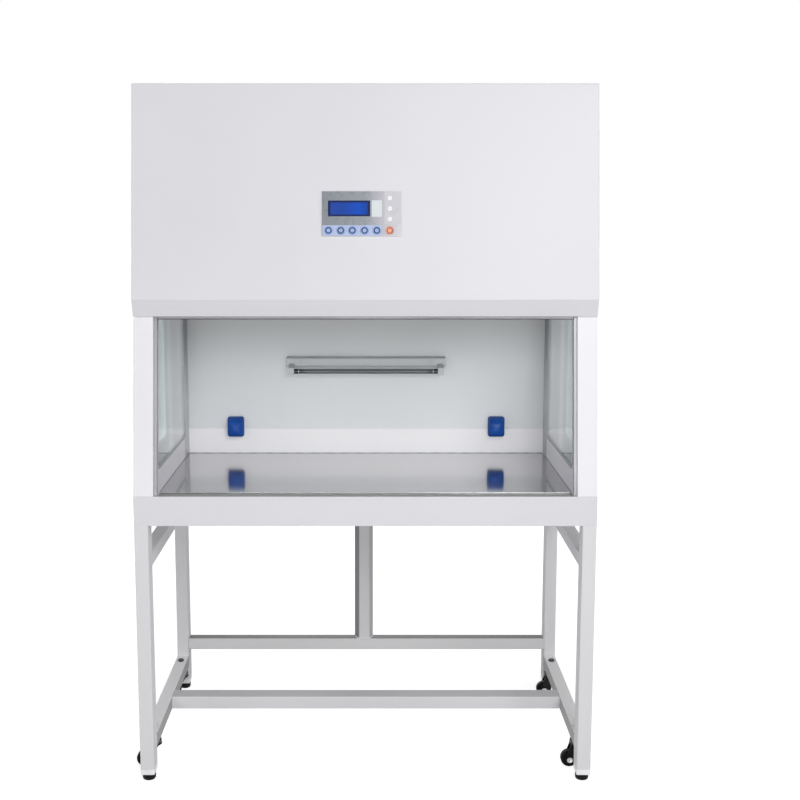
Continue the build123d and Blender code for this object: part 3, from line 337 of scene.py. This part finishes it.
M = {
    "cabinet": enamel("cabinet_enamel", PAINT, 0.36),
    "stand": stand_enamel("stand_enamel"),
    "air": enamel("outlet_enamel", (0.36, 0.37, 0.38, 1), 0.5),
    # painted light: the side panels take the cabinet's white paint made about a sixth brighter
    "side": enamel("side_enamel", (0.83, 0.816, 0.85, 1), 0.36),
    "steel": sheet_metal("worktop_steel", (0.535, 0.529, 0.54, 1), 0.09, (0.5, 14, 14), 0.03, 0.006),
    "anodised": sheet_metal("anodised", (0.24, 0.236, 0.25, 1), 0.45, (20, 20, 0.6), 0.05, 0.0),
    "galvanised": sheet_metal("galvanised", (0.60, 0.62, 0.64, 1), 0.38, (3, 3, 3), 0.1, 0.02),
    "zinc": sheet_metal("dark_zinc", (0.07, 0.07, 0.072, 1), 0.35, (6, 6, 6), 0.05, 0.0),
    "side_glass": pane("side_glass", SIDE_TINT_AND_REFLECTIONS),
    "sash_glass": pane("sash_glass", [(0.0, SASH_TINT), (1.0, SASH_TINT)]),
    "lamp_white": enamel("lamp_enamel", (0.55, 0.565, 0.575, 1), 0.4, 0.6),
    "diffuser": plastic("opal", (0.80, 0.82, 0.84, 1), 0.5, 300.0, 0.03),
    "socket": plastic("socket_blue", (0.005, 0.055, 0.265, 1), 0.4, 500.0, 0.05, shine=0.3),
    "lid": plastic("lid_blue", (0.006, 0.068, 0.345, 1), 0.36, 500.0, 0.04, shine=0.3),
    "black": plastic("black_plastic", (0.003, 0.003, 0.0035, 1), 0.45, 350.0, 0.15, shine=0.12),
    "rubber": plastic("rubber", (0.02, 0.021, 0.022, 1), 0.6, 250.0, 0.2),
    "gasket": plastic("gasket", (0.12, 0.13, 0.135, 1), 0.6, 250.0, 0.2),
    "seal": plastic("window_seal", (0.46, 0.48, 0.49, 1), 0.5, 250.0, 0.1),
    "groove": plastic("groove_grey", (0.40, 0.40, 0.402, 1), 0.5, 250.0, 0.2),
    "tread": plastic("tread", (0.003, 0.003, 0.0035, 1), 0.5, 250.0, 0.25, shine=0.12),
    "caster": enamel("caster_black", (0.003, 0.003, 0.0035, 1), 0.35, 1.5, shine=0.2),
    "white_plastic": plastic("plug_white", (0.97, 0.97, 0.975, 1), 0.42, 300.0, 0.1),
    "motor": enamel("motor_paint", (0.06, 0.065, 0.07, 1), 0.45, 2.0),
    "paper": plastic("filter_paper", (0.78, 0.79, 0.78, 1), 0.8, 900.0, 0.4),
    "fibre": plastic("fibre", (0.80, 0.81, 0.82, 1), 0.9, 150.0, 1.0),
    "key_blue": plastic("key_blue", (0.34, 0.44, 0.70, 1), 0.35, 500.0, 0.03, shine=0.3),
    "key_orange": plastic("key_orange", (0.78, 0.40, 0.22, 1), 0.35, 500.0, 0.03, shine=0.3),
    "ring_navy": plastic("ring_navy", (0.012, 0.045, 0.19, 1), 0.4, 500.0, 0.03, shine=0.2),
    "ring_red": plastic("ring_red", (0.48, 0.12, 0.13, 1), 0.4, 500.0, 0.03, shine=0.2),
    "bolt": sheet_metal("bolt_steel", (0.56, 0.56, 0.55, 1), 0.28, (8, 8, 8), 0.05, 0.0),
    # painted shade: the cross rail's top is darkened, and the rear rails more so, most of all on top, where
    # the cabinet shades them
    "cross": stand_enamel("cross_enamel", factor=painted_shade_by_facing(1.0, 0.82)),
    "rear_rail": stand_enamel("rear_rail_enamel", (0.75, 0.748, 0.755, 1), painted_shade_by_facing(0.93, 0.36)),
    # painted shade: the post's colour is the stand paint darkened by a tenth, and post_factor darkens its
    # folds
    "post": stand_enamel("post_enamel", (0.675, 0.669, 0.688, 1), post_factor),
    # painted light and shade: a brighter copy of the stand paint, lit on the tops and darkened on the inner
    # sides by rail_factor
    "side_rail": stand_enamel("side_rail_enamel", (0.95, 0.945, 0.95, 1), rail_factor),
    "chamber": enamel("chamber_enamel", (0.755, 0.775, 0.79, 1), 0.34, retone=wall_tone),
    "bezel": plastic("bezel_white", (0.93, 0.93, 0.95, 1), 0.35, 500.0, 0.03),
    "segment": plastic("segment", (0.10, 0.22, 0.75, 1), 0.3, 500.0, 0.02),
}


# ------------------------------------------------------------ material of each node
NODES_IN = {
    "cabinet": ["base_tray", "rear_panel", "hood_front_panel", "top_cover"],
    "side": ["left_side_panel", "right_side_panel"],
    "stand": ["upper_side_rails"] + [f"{corner}_leg" for corner in CORNERS],
    "cross": ["middle_cross_rail"],
    "rear_rail": ["rear_upper_rail", "rear_lower_rail"],
    "post": ["centre_post"],
    "side_rail": ["lower_side_rails"],
    "chamber": ["back_wall"],
    "air": ["diffuser"],
    "steel": ["worktop"],
    "anodised": ["sash_guides", "sash_handle"],
    "side_glass": ["left_side_glass", "right_side_glass"],
    "sash_glass": ["sash_glass"],
    "white_plastic": ["leg_end_plugs"],
    "black": ["mains_inlet"] + [f"{corner}_levelling_foot" for corner in CORNERS],
    "caster": [f"{corner}_caster_fork" for corner in CORNERS],
    "tread": [f"{corner}_caster_wheel" for corner in CORNERS],
    "zinc": ["caster_pivots"],
    "galvanised": ["blower_housing", "blower_impeller"],
    "motor": ["blower_motor"],
    "paper": ["hepa_filter"],
    "fibre": ["prefilter"],
    "lamp_white": ["uv_lamp_housing"],
    "diffuser": ["work_lamp"],
    "socket": ["left_socket_base", "right_socket_base"],
    "lid": ["left_socket_lid", "right_socket_lid"],
    "key_blue": [f"control_key_{i}" for i in range(1, 6)],
    "key_orange": ["control_key_6"],
}


def dress(name, material):
    for slot in NODES[name].material_slots:
        slot.link = "OBJECT"
        slot.material = material


for key, names in NODES_IN.items():
    for name in names:
        dress(name, M[key])


# ------------------------------------------------------------ control panel looks
# Areas of the plate are (u lo, u hi, v lo, v hi) from its middle: u to the right, v up its slope.
KEY_FIELD = (-0.109, 0.056, -0.0612, -0.0325)
LAMP_FIELD = (0.064, 0.109, -0.028, 0.0602)
BARE_FIELD = (0.028, 0.056, -0.009, 0.037)
PLATE_FIELD = (-0.1105, 0.1105, -0.062, 0.062)
SCREEN_U, SCREEN_V = -0.035, 0.014
SCREEN_LIT = (-0.0515, 0.0515, -0.0165, 0.0165)
SCREEN_FACE = (-0.0586, 0.0586, -0.0221, 0.0221)
LAMPS_U = 0.078                     # the three indicator lamps
LAMPS_V = (0.043, 0.014, -0.015)
LAMP_RADIUS = 0.004
KEYS_V = -0.047
FILM_TONES = [
    (0.0, (0.20, 0.225, 0.25, 1)),
    (0.55, (0.26, 0.28, 0.31, 1)),
    (0.8, (0.50, 0.49, 0.53, 1)),
    (1.0, (0.62, 0.61, 0.65, 1)),
]
SCREEN_TONES = [
    (0.0, (0.014, 0.055, 0.32, 1)),
    (0.35, (0.010, 0.050, 0.30, 1)),
    (0.75, (0.004, 0.066, 0.44, 1)),
    (1.0, (0.006, 0.045, 0.28, 1)),
]


def panel_axes(s, u0=0.0, v0=0.0):
    """u across the plate and v up its slope, from a point given by its own u and v."""
    here = s.axes(s.coords())
    u = s.maths("SUBTRACT", here["X"], PLATE_MIDDLE.x + u0)
    v = s.maths("DIVIDE", s.maths("SUBTRACT", here["Z"], PLATE_MIDDLE.z), math.cos(TILT))
    return u, s.maths("SUBTRACT", v, v0)


def inside(s, value, lo, hi, soft=0.0004):
    rise = s.span(value, lo - soft, lo + soft, 0, 1)
    fall = s.span(value, hi - soft, hi + soft, 1, 0)
    return s.maths("MULTIPLY", rise, fall)


def field(s, u, v, area):
    return s.maths("MULTIPLY", inside(s, u, area[0], area[1]), inside(s, v, area[2], area[3]))


def plate_material():
    """Printed film: a grey fade, a blue field round the keys and pale fields, all without words."""
    s = Shader("control_film", Roughness=0.3)
    u, v = panel_axes(s)
    colour = s.ramp(s.span(u, -0.112, 0.112, 0, 1), FILM_TONES)
    colour = s.mix(field(s, u, v, KEY_FIELD), colour, (0.42, 0.50, 0.72, 1))
    colour = s.mix(field(s, u, v, LAMP_FIELD), colour, (0.56, 0.55, 0.585, 1))
    colour = s.mix(field(s, u, v, BARE_FIELD), colour, (0.66, 0.70, 0.72, 1))
    s.set("Base Color", s.mix(field(s, u, v, PLATE_FIELD), (0.70, 0.70, 0.73, 1), colour))
    cloud = s.noise(40.0, 3.0)
    s.set("Roughness", s.span(cloud, 0.3, 0.7, 0.24, 0.36))
    s.bump((s.noise(700.0, 2.0), 0.05, 0.0003), edge=0.0006)
    return s.mat


def display_material():
    """Blue lit screen, white lamps and a green board round them."""
    s = Shader("display_lit", Roughness=0.15, Emission_Strength=0.2, Specular_IOR_Level=0.2)
    u, v = panel_axes(s, SCREEN_U, SCREEN_V)
    lit = field(s, u, v, SCREEN_LIT)
    face = field(s, u, v, SCREEN_FACE)
    glow = s.ramp(s.span(u, SCREEN_LIT[0], SCREEN_LIT[1], 0, 1), SCREEN_TONES)
    screen = s.mix(lit, (0.008, 0.02, 0.10, 1), glow)
    lamps_u = LAMPS_U - SCREEN_U
    lamps = inside(s, u, lamps_u - LAMP_RADIUS, lamps_u + LAMP_RADIUS)
    board = s.mix(lamps, (0.02, 0.11, 0.05, 1), (0.90, 0.91, 0.93, 1))
    s.set("Base Color", s.mix(face, board, screen))
    s.set("Emission Color", s.mix(s.maths("MULTIPLY", lit, face), BLACK, glow))
    return s.mat


def tube_material():
    """Quartz tube with metal end caps."""
    s = Shader("uv_tube", Roughness=0.3)
    x = s.axes(s.coords())["X"]
    glass = inside(s, x, TUBE[0].x + CAP_LENGTH, TUBE[1].x - CAP_LENGTH, 0.0006)
    ends = inside(s, x, TUBE[0].x + 0.036, TUBE[1].x - 0.036, 0.008)
    body = s.mix(ends, (0.035, 0.037, 0.04, 1), (0.115, 0.12, 0.125, 1))
    s.set("Base Color", s.mix(glass, (0.05, 0.052, 0.055, 1), body))
    s.set("Metallic", s.maths("SUBTRACT", 1.0, glass))
    s.bump((s.noise(30.0, 2.0), 0.05, 0.001))
    return s.mat


dress("control_plate", plate_material())
dress("display_board", display_material())
dress("uv_lamp_tube", tube_material())


# ------------------------------------------------------------ mesh helpers
def place_mesh(name, bm):
    mesh = bpy.data.meshes.new(name)
    bm.to_mesh(mesh)
    bm.free()
    piece = bpy.data.objects.new(name, mesh)
    bpy.context.scene.collection.objects.link(piece)
    return piece


def new_piece(name, bm, key, body="root", smooth=True, bevel=0.0):
    """Make a piece of the scene from bm, in the material M[key], riding on a body."""
    bmesh.ops.recalc_face_normals(bm, faces=bm.faces)
    piece = place_mesh(name, bm)
    piece.data.materials.append(M[key])
    for polygon in piece.data.polygons:
        polygon.use_smooth = smooth
    if bevel:
        modifier = piece.modifiers.new("edge", "BEVEL")
        modifier.width = bevel
        modifier.segments = 2
        modifier.limit_method = "ANGLE"
        modifier.harden_normals = True
    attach(piece, body)


def add_box(bm, lo, hi, matrix=Matrix()):
    made = bmesh.ops.create_cube(bm, size=1.0)
    size = Vector(hi) - Vector(lo)
    middle = (Vector(hi) + Vector(lo)) / 2
    bmesh.ops.scale(bm, vec=size, verts=made["verts"])
    bmesh.ops.translate(bm, vec=middle, verts=made["verts"])
    bmesh.ops.transform(bm, matrix=matrix, verts=made["verts"])


def ring(bm, radius, height, matrix, steps):
    """One turn of vertices, or a single one on the axis."""
    if radius < 1e-6:
        return [bm.verts.new(matrix @ Vector((0, 0, height)))]
    turns = [ALL_ROUND * i / steps for i in range(steps)]
    places = [Vector((radius * math.cos(a), radius * math.sin(a), height)) for a in turns]
    return [bm.verts.new(matrix @ place) for place in places]


def lathe(bm, profile, matrix, steps=32):
    """Turn (radius, height) points round Z, then place the result."""
    rings = [ring(bm, radius, height, matrix, steps) for radius, height in profile]
    for low, high in zip(rings, rings[1:]):
        for i in range(steps):
            j = (i + 1) % steps
            corners = [low[i % len(low)], low[j % len(low)], high[j % len(high)], high[i % len(high)]]
            unique = list(dict.fromkeys(corners))
            if len(unique) > 2:
                bm.faces.new(unique)


def facing(point, direction):
    """A matrix at a point whose Z looks along direction."""
    turn = Vector(direction).to_track_quat("Z", "Y").to_matrix().to_4x4()
    return Matrix.Translation(Vector(point)) @ turn


def screw_head(bm, matrix, radius=0.004, height=0.0022):
    """Domed head with a sunk middle and a cross in it."""
    dome = [(1.0, 0), (1.0, 0.35), (0.86, 0.8), (0.55, 1.0), (0.30, 1.0), (0.16, 0.45), (0, 0.4)]
    lathe(bm, [(radius * r, height * h) for r, h in dome], matrix, 20)
    arm, half_width = radius * 0.42, radius * 0.07
    for turn in (0, math.pi / 2):
        cross = matrix @ Matrix.Rotation(turn, 4, "Z")
        add_box(bm, (-arm, -half_width, height * 0.96), (arm, half_width, height * 1.01), cross)


# ------------------------------------------------------------ camera, light and floor
CAMERA_PLACE = (MIDDLE + 0.013, -3.847, BENCH + 0.784)
CAMERA_DIP = math.radians(8.4)
LENS = 56.9             # mm, on a sensor 36 mm wide
LAMPS = {   # place, target, size and power in watts
    "key_right": ((1.5, -4.4, 3.1), (0, 0, 1.0), (2.2, 2.0), 86),
    "key_left": ((-3.0, -4.8, 2.2), (0, 0, 1.1), (1.8, 1.4), 26),
    "front_low": ((0.1, -5.6, 1.2), (0, 0, 0.9), (2.2, 1.2), 74),
    "side_left": ((-4.6, -2.4, 3.4), (0, 0, 1.2), (1.2, 1.2), 32),
    "side_right": ((4.6, -2.4, 3.4), (0, 0, 1.2), (1.2, 1.2), 32),
    "far_left": ((-6.5, 0.9, 1.3), (0, 0.9, 1.2), (2.4, 1.6), 75),
    "far_right": ((6.5, 0.9, 1.3), (0, 0.9, 1.2), (2.4, 1.6), 75),
    "rear_fill": ((0, 6.0, 0.8), (0, 0, 0.9), (2.2, 1.0), 62),
    "top": ((0, 0.1, 4.6), (0, 0, 0), (1.0, 0.5), 20),
}


def set_camera():
    camera = bpy.data.objects.new("camera", bpy.data.cameras.new("camera"))
    bpy.context.scene.collection.objects.link(camera)
    camera.location = CAMERA_PLACE
    camera.rotation_euler = (math.radians(90) - CAMERA_DIP, 0, 0)
    camera.data.lens = LENS
    camera.data.sensor_width = 36.0
    camera.data.shift_x = 0.0375
    camera.data.clip_end = 300
    bpy.context.scene.camera = camera
    bpy.context.scene.view_settings.view_transform = "Standard"


def softbox(name, place, target, size, power):
    data = bpy.data.lights.new(name, "AREA")
    data.shape = "RECTANGLE"
    data.size, data.size_y = size
    data.energy = power
    lamp = bpy.data.objects.new(name, data)
    bpy.context.scene.collection.objects.link(lamp)
    lamp.location = place
    lamp.rotation_euler = (Vector(target) - Vector(place)).to_track_quat("-Z", "Y").to_euler()


def set_world():
    """White where it is seen, mirrored or seen through, and dim where it lights the object."""
    world = bpy.data.worlds.new("studio")
    world.use_nodes = True
    bpy.context.scene.world = world
    sky = Nodes(world.node_tree)
    dim = sky.tree.nodes["Background"]
    dim.inputs["Color"].default_value = (0.93, 0.96, 1.0, 1)
    dim.inputs["Strength"].default_value = 0.13
    white = sky.node("Background")
    white.inputs["Color"].default_value = (1, 1, 1, 1)
    white.inputs["Strength"].default_value = 1.0
    mixer = sky.node("MixShader")
    sky.link(sky.direct_ray(), mixer.inputs[0])
    sky.link(dim.outputs[0], mixer.inputs[1])
    sky.link(white.outputs[0], mixer.inputs[2])
    sky.link(mixer.outputs[0], sky.tree.nodes["World Output"].inputs["Surface"])


def floor_material():
    """Pale floor that turns white away from the object and keeps its shadow."""
    s = Shader("studio_floor", Roughness=0.9, Base_Color=(0.60, 0.60, 0.60, 1), Specular_IOR_Level=0.0)
    direct = s.direct_ray()
    here = s.axes(s.coords())
    squares = [s.maths("MULTIPLY", here[axis], here[axis]) for axis in "XY"]
    away = s.maths("SQRT", s.maths("ADD", *squares))
    lift = s.span(away, 0.7, 2.2, 0.78, 1.0)
    s.set("Emission Color", (1, 1, 1, 1))
    s.set("Emission Strength", s.maths("MULTIPLY", lift, direct))
    return s.mat


def lay_floor():
    bm = bmesh.new()
    bmesh.ops.create_circle(bm, cap_ends=True, segments=96, radius=60.0)
    piece = place_mesh("floor", bm)
    piece.location.z = -0.0005
    piece.data.materials.append(floor_material())


set_camera()
for name, settings in LAMPS.items():
    softbox(name, *settings)
set_world()
lay_floor()


# ------------------------------------------------------------ welds
def bead(bm, a, b, radius=0.0028, ripple=0.0035):
    """A hand-laid weld: a tube from a to b whose thickness ripples."""
    a, b = Vector(a), Vector(b)
    length = (b - a).length
    count = max(6, int(length / 0.0012))
    profile = [(0.0, 0.0)]
    for i in range(count + 1):
        t = i / count
        end = min(1.0, min(t, 1 - t) * length / 0.004 + 0.35)
        wave = 1 + 0.16 * math.sin(ALL_ROUND * t * length / ripple)
        wave += 0.05 * math.sin(17.0 * t * length / ripple)
        profile.append((radius * end * wave, t * length))
    profile.append((0.0, length))
    lathe(bm, profile, facing(a, b - a), 10)


def side_welds(bm, side):
    """Where one side's rails meet its legs."""
    inset = 0.004
    x0, x1 = sorted((MIDDLE + side * (LEG_IN + inset), MIDDLE + side * (LEG_OUT - inset)))
    for rail in (SIDE_RAIL, UPPER_RAIL):
        for y in (-LEG_INNER_Y, LEG_INNER_Y):
            for z in (rail[0].z, rail[1].z):
                bead(bm, (x0, y, z), (x1, y, z))
    edge = MIDDLE + side * LEG_IN
    for y in (CROSS[0].y, CROSS[1].y):
        bead(bm, (edge, y, CROSS[0].z + inset), (edge, y, CROSS[1].z - inset))
    for rail in (REAR_LOW, REAR_HIGH):
        y0, y1 = rail[0].y, rail[1].y
        for z in (rail[0].z, rail[1].z):
            bead(bm, (edge, y0 + 0.003, z), (edge, y1, z))
        bead(bm, (edge, y1, rail[0].z), (edge, y1, rail[1].z))


def post_welds(bm):
    """Along the post's face and its two splayed flanks, at both ends."""
    splay = 0.011
    for z in (POST[0].z, POST[1].z):
        left, right = (POST[0].x + splay, POST[0].y, z), (POST[1].x - splay, POST[0].y, z)
        bead(bm, left, right, 0.0032)
        bead(bm, (POST[0].x, POST[1].y, z), left, 0.003)
        bead(bm, (POST[1].x, POST[1].y, z), right, 0.003)


def stand_welds():
    bm = bmesh.new()
    for _, side in SIDES:
        side_welds(bm, side)
    post_welds(bm)
    new_piece("stand_welds", bm, "stand")


stand_welds()


# ------------------------------------------------------------ seals
def rounded_corner(corner, before, after, radius, steps=8):
    """Points of the arc that rounds a corner between its two neighbours."""
    u, v = (before - corner).normalized(), (after - corner).normalized()
    half = math.acos(max(-1, min(1, u.dot(v)))) / 2
    reach = radius / math.tan(half)
    centre = corner + (u + v).normalized() * radius / math.sin(half)
    start, end = corner + u * reach - centre, corner + v * reach - centre
    turn = -start.angle_signed(end)
    return [centre + Matrix.Rotation(turn * k / steps, 2) @ start for k in range(steps + 1)]


def rounded_window(grow):
    """Outline of the side window in (y, z), grown all round."""
    low, high = GLASS[0].z + WINDOW_REBATE - grow, GLASS[1].z - WINDOW_REBATE + grow
    back = GLASS[1].y - WINDOW_REBATE + grow
    front_low, front_high = (post_front(z) + WINDOW_MARGIN - grow for z in (low, high))
    corners = [Vector(c) for c in ((front_low, low), (back, low), (back, high), (front_high, high))]
    points = []
    for i, corner in enumerate(corners):
        points += rounded_corner(corner, corners[i - 1], corners[(i + 1) % 4], WINDOW_CORNER + grow)
    return points


def window_seal(name, side, x_in, x_out, grow_in, grow_out):
    """A closed rubber frame between two outlines and two x planes."""
    bm = bmesh.new()
    loops = []
    for grow, x in ((grow_in, x_in), (grow_out, x_in), (grow_out, x_out), (grow_in, x_out)):
        loops.append([bm.verts.new((MIDDLE + side * x, y, z)) for y, z in rounded_window(grow)])
    for i, loop in enumerate(loops):
        other = loops[(i + 1) % 4]
        for k in range(len(loop)):
            j = (k + 1) % len(loop)
            bm.faces.new((loop[k], loop[j], other[j], other[k]))
    new_piece(name, bm, "seal", smooth=False, bevel=0.0004)


def groove_strip():
    """Ribbed rubber strip on the floor of the groove that the sash closes on."""
    bm = bmesh.new()
    y0, y1 = FRONT + GROOVE_SETBACK + 0.0008, TOP[0].y - 0.0005
    z = BENCH - GROOVE_DEPTH
    left, right = MIDDLE - CHAMBER_HALF + 0.0005, MIDDLE + CHAMBER_HALF - 0.0005
    rib_pitch, rib_half = 0.008, 0.0012
    add_box(bm, (left, y0, z), (right, y1, z + 0.0011))
    for rib in range(4):
        y = y0 + 0.010 + rib * rib_pitch
        add_box(bm, (left, y - rib_half, z + 0.0008), (right, y + rib_half, z + 0.0018))
    new_piece("groove_rubber", bm, "groove", smooth=False, bevel=0.0004)


def wall_sealant():
    """Thin bead of sealant where the worktop meets the three walls."""
    bm = bmesh.new()
    y = WALL[0].y
    half = CHAMBER_HALF - 0.0015
    radius, ripple = 0.0012, 0.05
    bead(bm, (MIDDLE - half, y, BENCH), (MIDDLE + half, y, BENCH), radius, ripple)
    for _, side in SIDES:
        x = MIDDLE + side * CHAMBER_HALF
        bead(bm, (x, TOP[0].y + 0.007, BENCH), (x, y, BENCH), radius, ripple)
    new_piece("worktop_sealant", bm, "gasket")


for label, side in SIDES:
    inner, outer = CHAMBER_HALF, GLASS[1].x - MIDDLE
    window_seal(f"{label}_window_inner_seal", side, inner - 0.0006, inner + 0.0012, 0.001, 0.0105)
    window_seal(f"{label}_window_outer_seal", side, outer + 0.0001, outer + 0.0035, -0.007, -0.0002)
groove_strip()
wall_sealant()


# ------------------------------------------------------------ corner liners
def liner_material():
    """Bright-rolled stainless, its colour darkened towards its top as painted reflection and shade of the
    ceiling.
    """
    s = Shader("liner_steel", Metallic=0.55, Roughness=0.3)
    height = s.axes(s.coords())["Z"]
    # painted reflection and shade: the colour darkens to near black at the top
    stops = [
        (0.0, (0.42, 0.43, 0.44, 1)),
        (0.35, (0.56, 0.57, 0.58, 1)),
        (0.62, (0.36, 0.375, 0.38, 1)),
        (1.0, (0.10, 0.105, 0.11, 1)),
    ]
    s.set("Base Color", s.ramp(s.span(height, BENCH, BENCH + 0.50, 0, 1), stops))
    s.bump((s.noise(40.0, 4.0, 0.6, (14, 14, 0.5)), 0.04, 0.0006), edge=0.0004)
    return s.mat


def corner_liners():
    """Flat steel strip down each rear corner, from the window to the back wall."""
    # the strips stand in for the dark rear corners and carry their painted shade and reflection
    low, high = BENCH + 0.002, WALL[1].z - 0.003
    near, far = GLASS[1].y - 0.006, WALL[0].y - 0.0003
    for label, side in SIDES:
        x0, x1 = sorted(MIDDLE + side * (CHAMBER_HALF - gap) for gap in (0.0018, 0.0007))
        bm = bmesh.new()
        add_box(bm, (x0, near, low), (x1, far, high))
        new_piece(f"{label}_corner_liner", bm, "liner", smooth=False, bevel=0.0003)


M["liner"] = liner_material()
corner_liners()


# ------------------------------------------------------------ screws
def put_screws(name, places, direction, radius=0.004):
    bm = bmesh.new()
    for place in places:
        screw_head(bm, facing(place, direction), radius)
    new_piece(name, bm, "bolt")


def rear_screws():
    """Along the rear panel's four edges, and beside the mains inlet."""
    y = REAR[1].y
    inset = 0.010
    left, right = REAR[0].x + inset, REAR[1].x - inset
    low, high = REAR[0].z + inset, REAR[1].z - inset
    row_length = right - left - 2 * inset
    places = []
    for i in range(6):
        x = left + inset + i * row_length / 5
        places += [(x, y, low), (x, y, high)]
    for i in range(1, 5):
        z = low + i * (high - low) / 5
        places += [(left, y, z), (right, y, z)]
    inlet = lo_hi("mains_inlet")
    z = middle_of(inlet).z
    places += [(inlet[0].x - 0.008, y, z), (inlet[1].x + 0.008, y, z)]
    put_screws("rear_screws", places, (0, 1, 0))


def roof_screws():
    """Round the intake; their heads are sunk into the roof cover."""
    z = lo_hi("top_cover")[1].z - 0.0021
    intake = lo_hi("prefilter")
    columns = (intake[0].x - 0.02, middle_of(intake).x, intake[1].x + 0.02)
    rows = (intake[0].y - 0.01, intake[1].y + 0.01)
    put_screws("roof_screws", [(x, y, z) for x in columns for y in rows], (0, 0, 1), radius=0.0042)


rear_screws()
roof_screws()


# ------------------------------------------------------------ control panel details
def plate_matrix(u, v, w):
    """Place on the control plate: u right, v up the slope, w outwards from its front face."""
    y_face = PLATE[0].y + (PLATE_MIDDLE.z - PLATE[0].z) * SLOPE
    turn = Matrix.Rotation(math.radians(90) - TILT, 4, "X")
    middle = Matrix.Translation((PLATE_MIDDLE.x, y_face, PLATE_MIDDLE.z))
    return middle @ turn @ Matrix.Translation((u, v, w))


def ring_profile(inner, outer, height):
    """Rectangle with its two upper edges chamfered."""
    cut = height * 0.3
    top = height - cut
    return [(inner, 0), (inner, top), (inner + cut, height), (outer - cut, height), (outer, top), (outer, 0)]


def key_rings():
    """Printed ring on each key; the last key's is red."""
    for number in range(1, 7):
        u = middle_of(lo_hi(f"control_key_{number}")).x - PLATE_MIDDLE.x
        bm = bmesh.new()
        lathe(bm, ring_profile(0.0058, 0.0092, 0.0005), plate_matrix(u, KEYS_V, 0.0025), 48)
        new_piece(f"key_ring_{number}", bm, "ring_red" if number == 6 else "ring_navy", f"key_{number}")


def lamp_bezels():
    """White collars round the three indicator lamps."""
    bm = bmesh.new()
    for v in LAMPS_V:
        lathe(bm, ring_profile(0.0027, 0.0060, 0.0009), plate_matrix(LAMPS_U, v, 0.0001), 40)
    new_piece("indicator_bezels", bm, "bezel")


def display_marks():
    """Two plain lines and a row of rising bars, as any such display shows."""
    bm = bmesh.new()
    screen = plate_matrix(SCREEN_U, SCREEN_V, -0.00145)
    thick = 0.0001
    for width, v in ((0.030, 0.0075), (0.022, -0.0075)):
        add_box(bm, (-0.044, v - 0.0006, 0), (-0.044 + width, v + 0.0006, thick), screen)
    for k in range(8):
        u, height = 0.006 + k * 0.0046, 0.002 + 0.0011 * k
        add_box(bm, (u, -0.011, 0), (u + 0.003, -0.011 + height, thick), screen)
    new_piece("display_bars", bm, "segment", smooth=False)


key_rings()
lamp_bezels()
display_marks()


# ------------------------------------------------------------ caster details
def axle_washers(corner, centre, half):
    """Domed washer on the axle bolt, at either side of the fork."""
    bm = bmesh.new()
    for way in (-1, 1):
        at = facing((centre.x, centre.y + way * (half - 0.0034), centre.z), (0, way, 0))
        rim = [(0.0082, 0), (0.0082, 0.0006), (0.0070, 0.0010), (0.0070, 0.0006), (0, 0.0006)]
        lathe(bm, rim, at, 28)
    new_piece(f"{corner}_axle_washers", bm, "bolt", f"{corner}_fork")


def wheel_ribs(corner, centre):
    """Six ribs on either face of the wheel, between its hub and its tread."""
    bm = bmesh.new()
    disc_half, hub_radius, tread_radius, rib_half = 0.0068, 0.0105, 0.0196, 0.0012
    for way in (-1, 1):
        at = facing((centre.x, centre.y + way * disc_half, centre.z), (0, way, 0))
        for k in range(6):
            spoke = at @ Matrix.Rotation(ALL_ROUND * k / 6, 4, "Z")
            add_box(bm, (hub_radius, -rib_half, -0.0004), (tread_radius, rib_half, 0.0024), spoke)
    new_piece(f"{corner}_wheel_ribs", bm, "tread", f"{corner}_wheel", smooth=False, bevel=0.0004)


for corner in CORNERS:
    wheel_centre = middle_of(lo_hi(f"{corner}_caster_wheel"))
    fork = lo_hi(f"{corner}_caster_fork")
    axle_washers(corner, wheel_centre, (fork[1].y - fork[0].y) / 2)
    wheel_ribs(corner, wheel_centre)


# ------------------------------------------------------------ lamp and sash details
def cap_rims():
    """Rolled rim where each metal cap meets the lamp's tube."""
    bm = bmesh.new()
    middle = middle_of(TUBE)
    for x, way in ((TUBE[0].x + CAP_LENGTH, 1), (TUBE[1].x - CAP_LENGTH, -1)):
        at = facing((x, middle.y, middle.z), (way, 0, 0))
        lathe(bm, [(0.0079, 0), (0.0083, 0.0004), (0.0083, 0.0016), (0.0079, 0.002)], at, 32)
    new_piece("tube_cap_rims", bm, "bolt")


def housing_screws():
    house = lo_hi("uv_lamp_housing")
    y, z = house[0].y + 0.0002, house[1].z - 0.012
    places = [(x, y, z) for x in (house[0].x + 0.05, house[1].x - 0.05)]
    put_screws("housing_screws", places, (0, -1, 0), radius=0.003)


def sash_lip():
    """Rubber lip under the handle rail, riding with the sash."""
    bm = bmesh.new()
    half = (HANDLE[1].x - HANDLE[0].x) / 2 - 0.001
    corner = (MIDDLE, HANDLE[0].y + 0.006 * math.cos(TILT), HANDLE[0].z + 0.0012)
    turn = Matrix.Translation(corner) @ Matrix.Rotation(-TILT, 4, "X")
    add_box(bm, (-half, 0.0, -0.0016), (half, 0.007, 0.0004), turn)
    new_piece("sash_rubber", bm, "rubber", "sash", smooth=False, bevel=0.0004)


cap_rims()
housing_screws()
sash_lip()
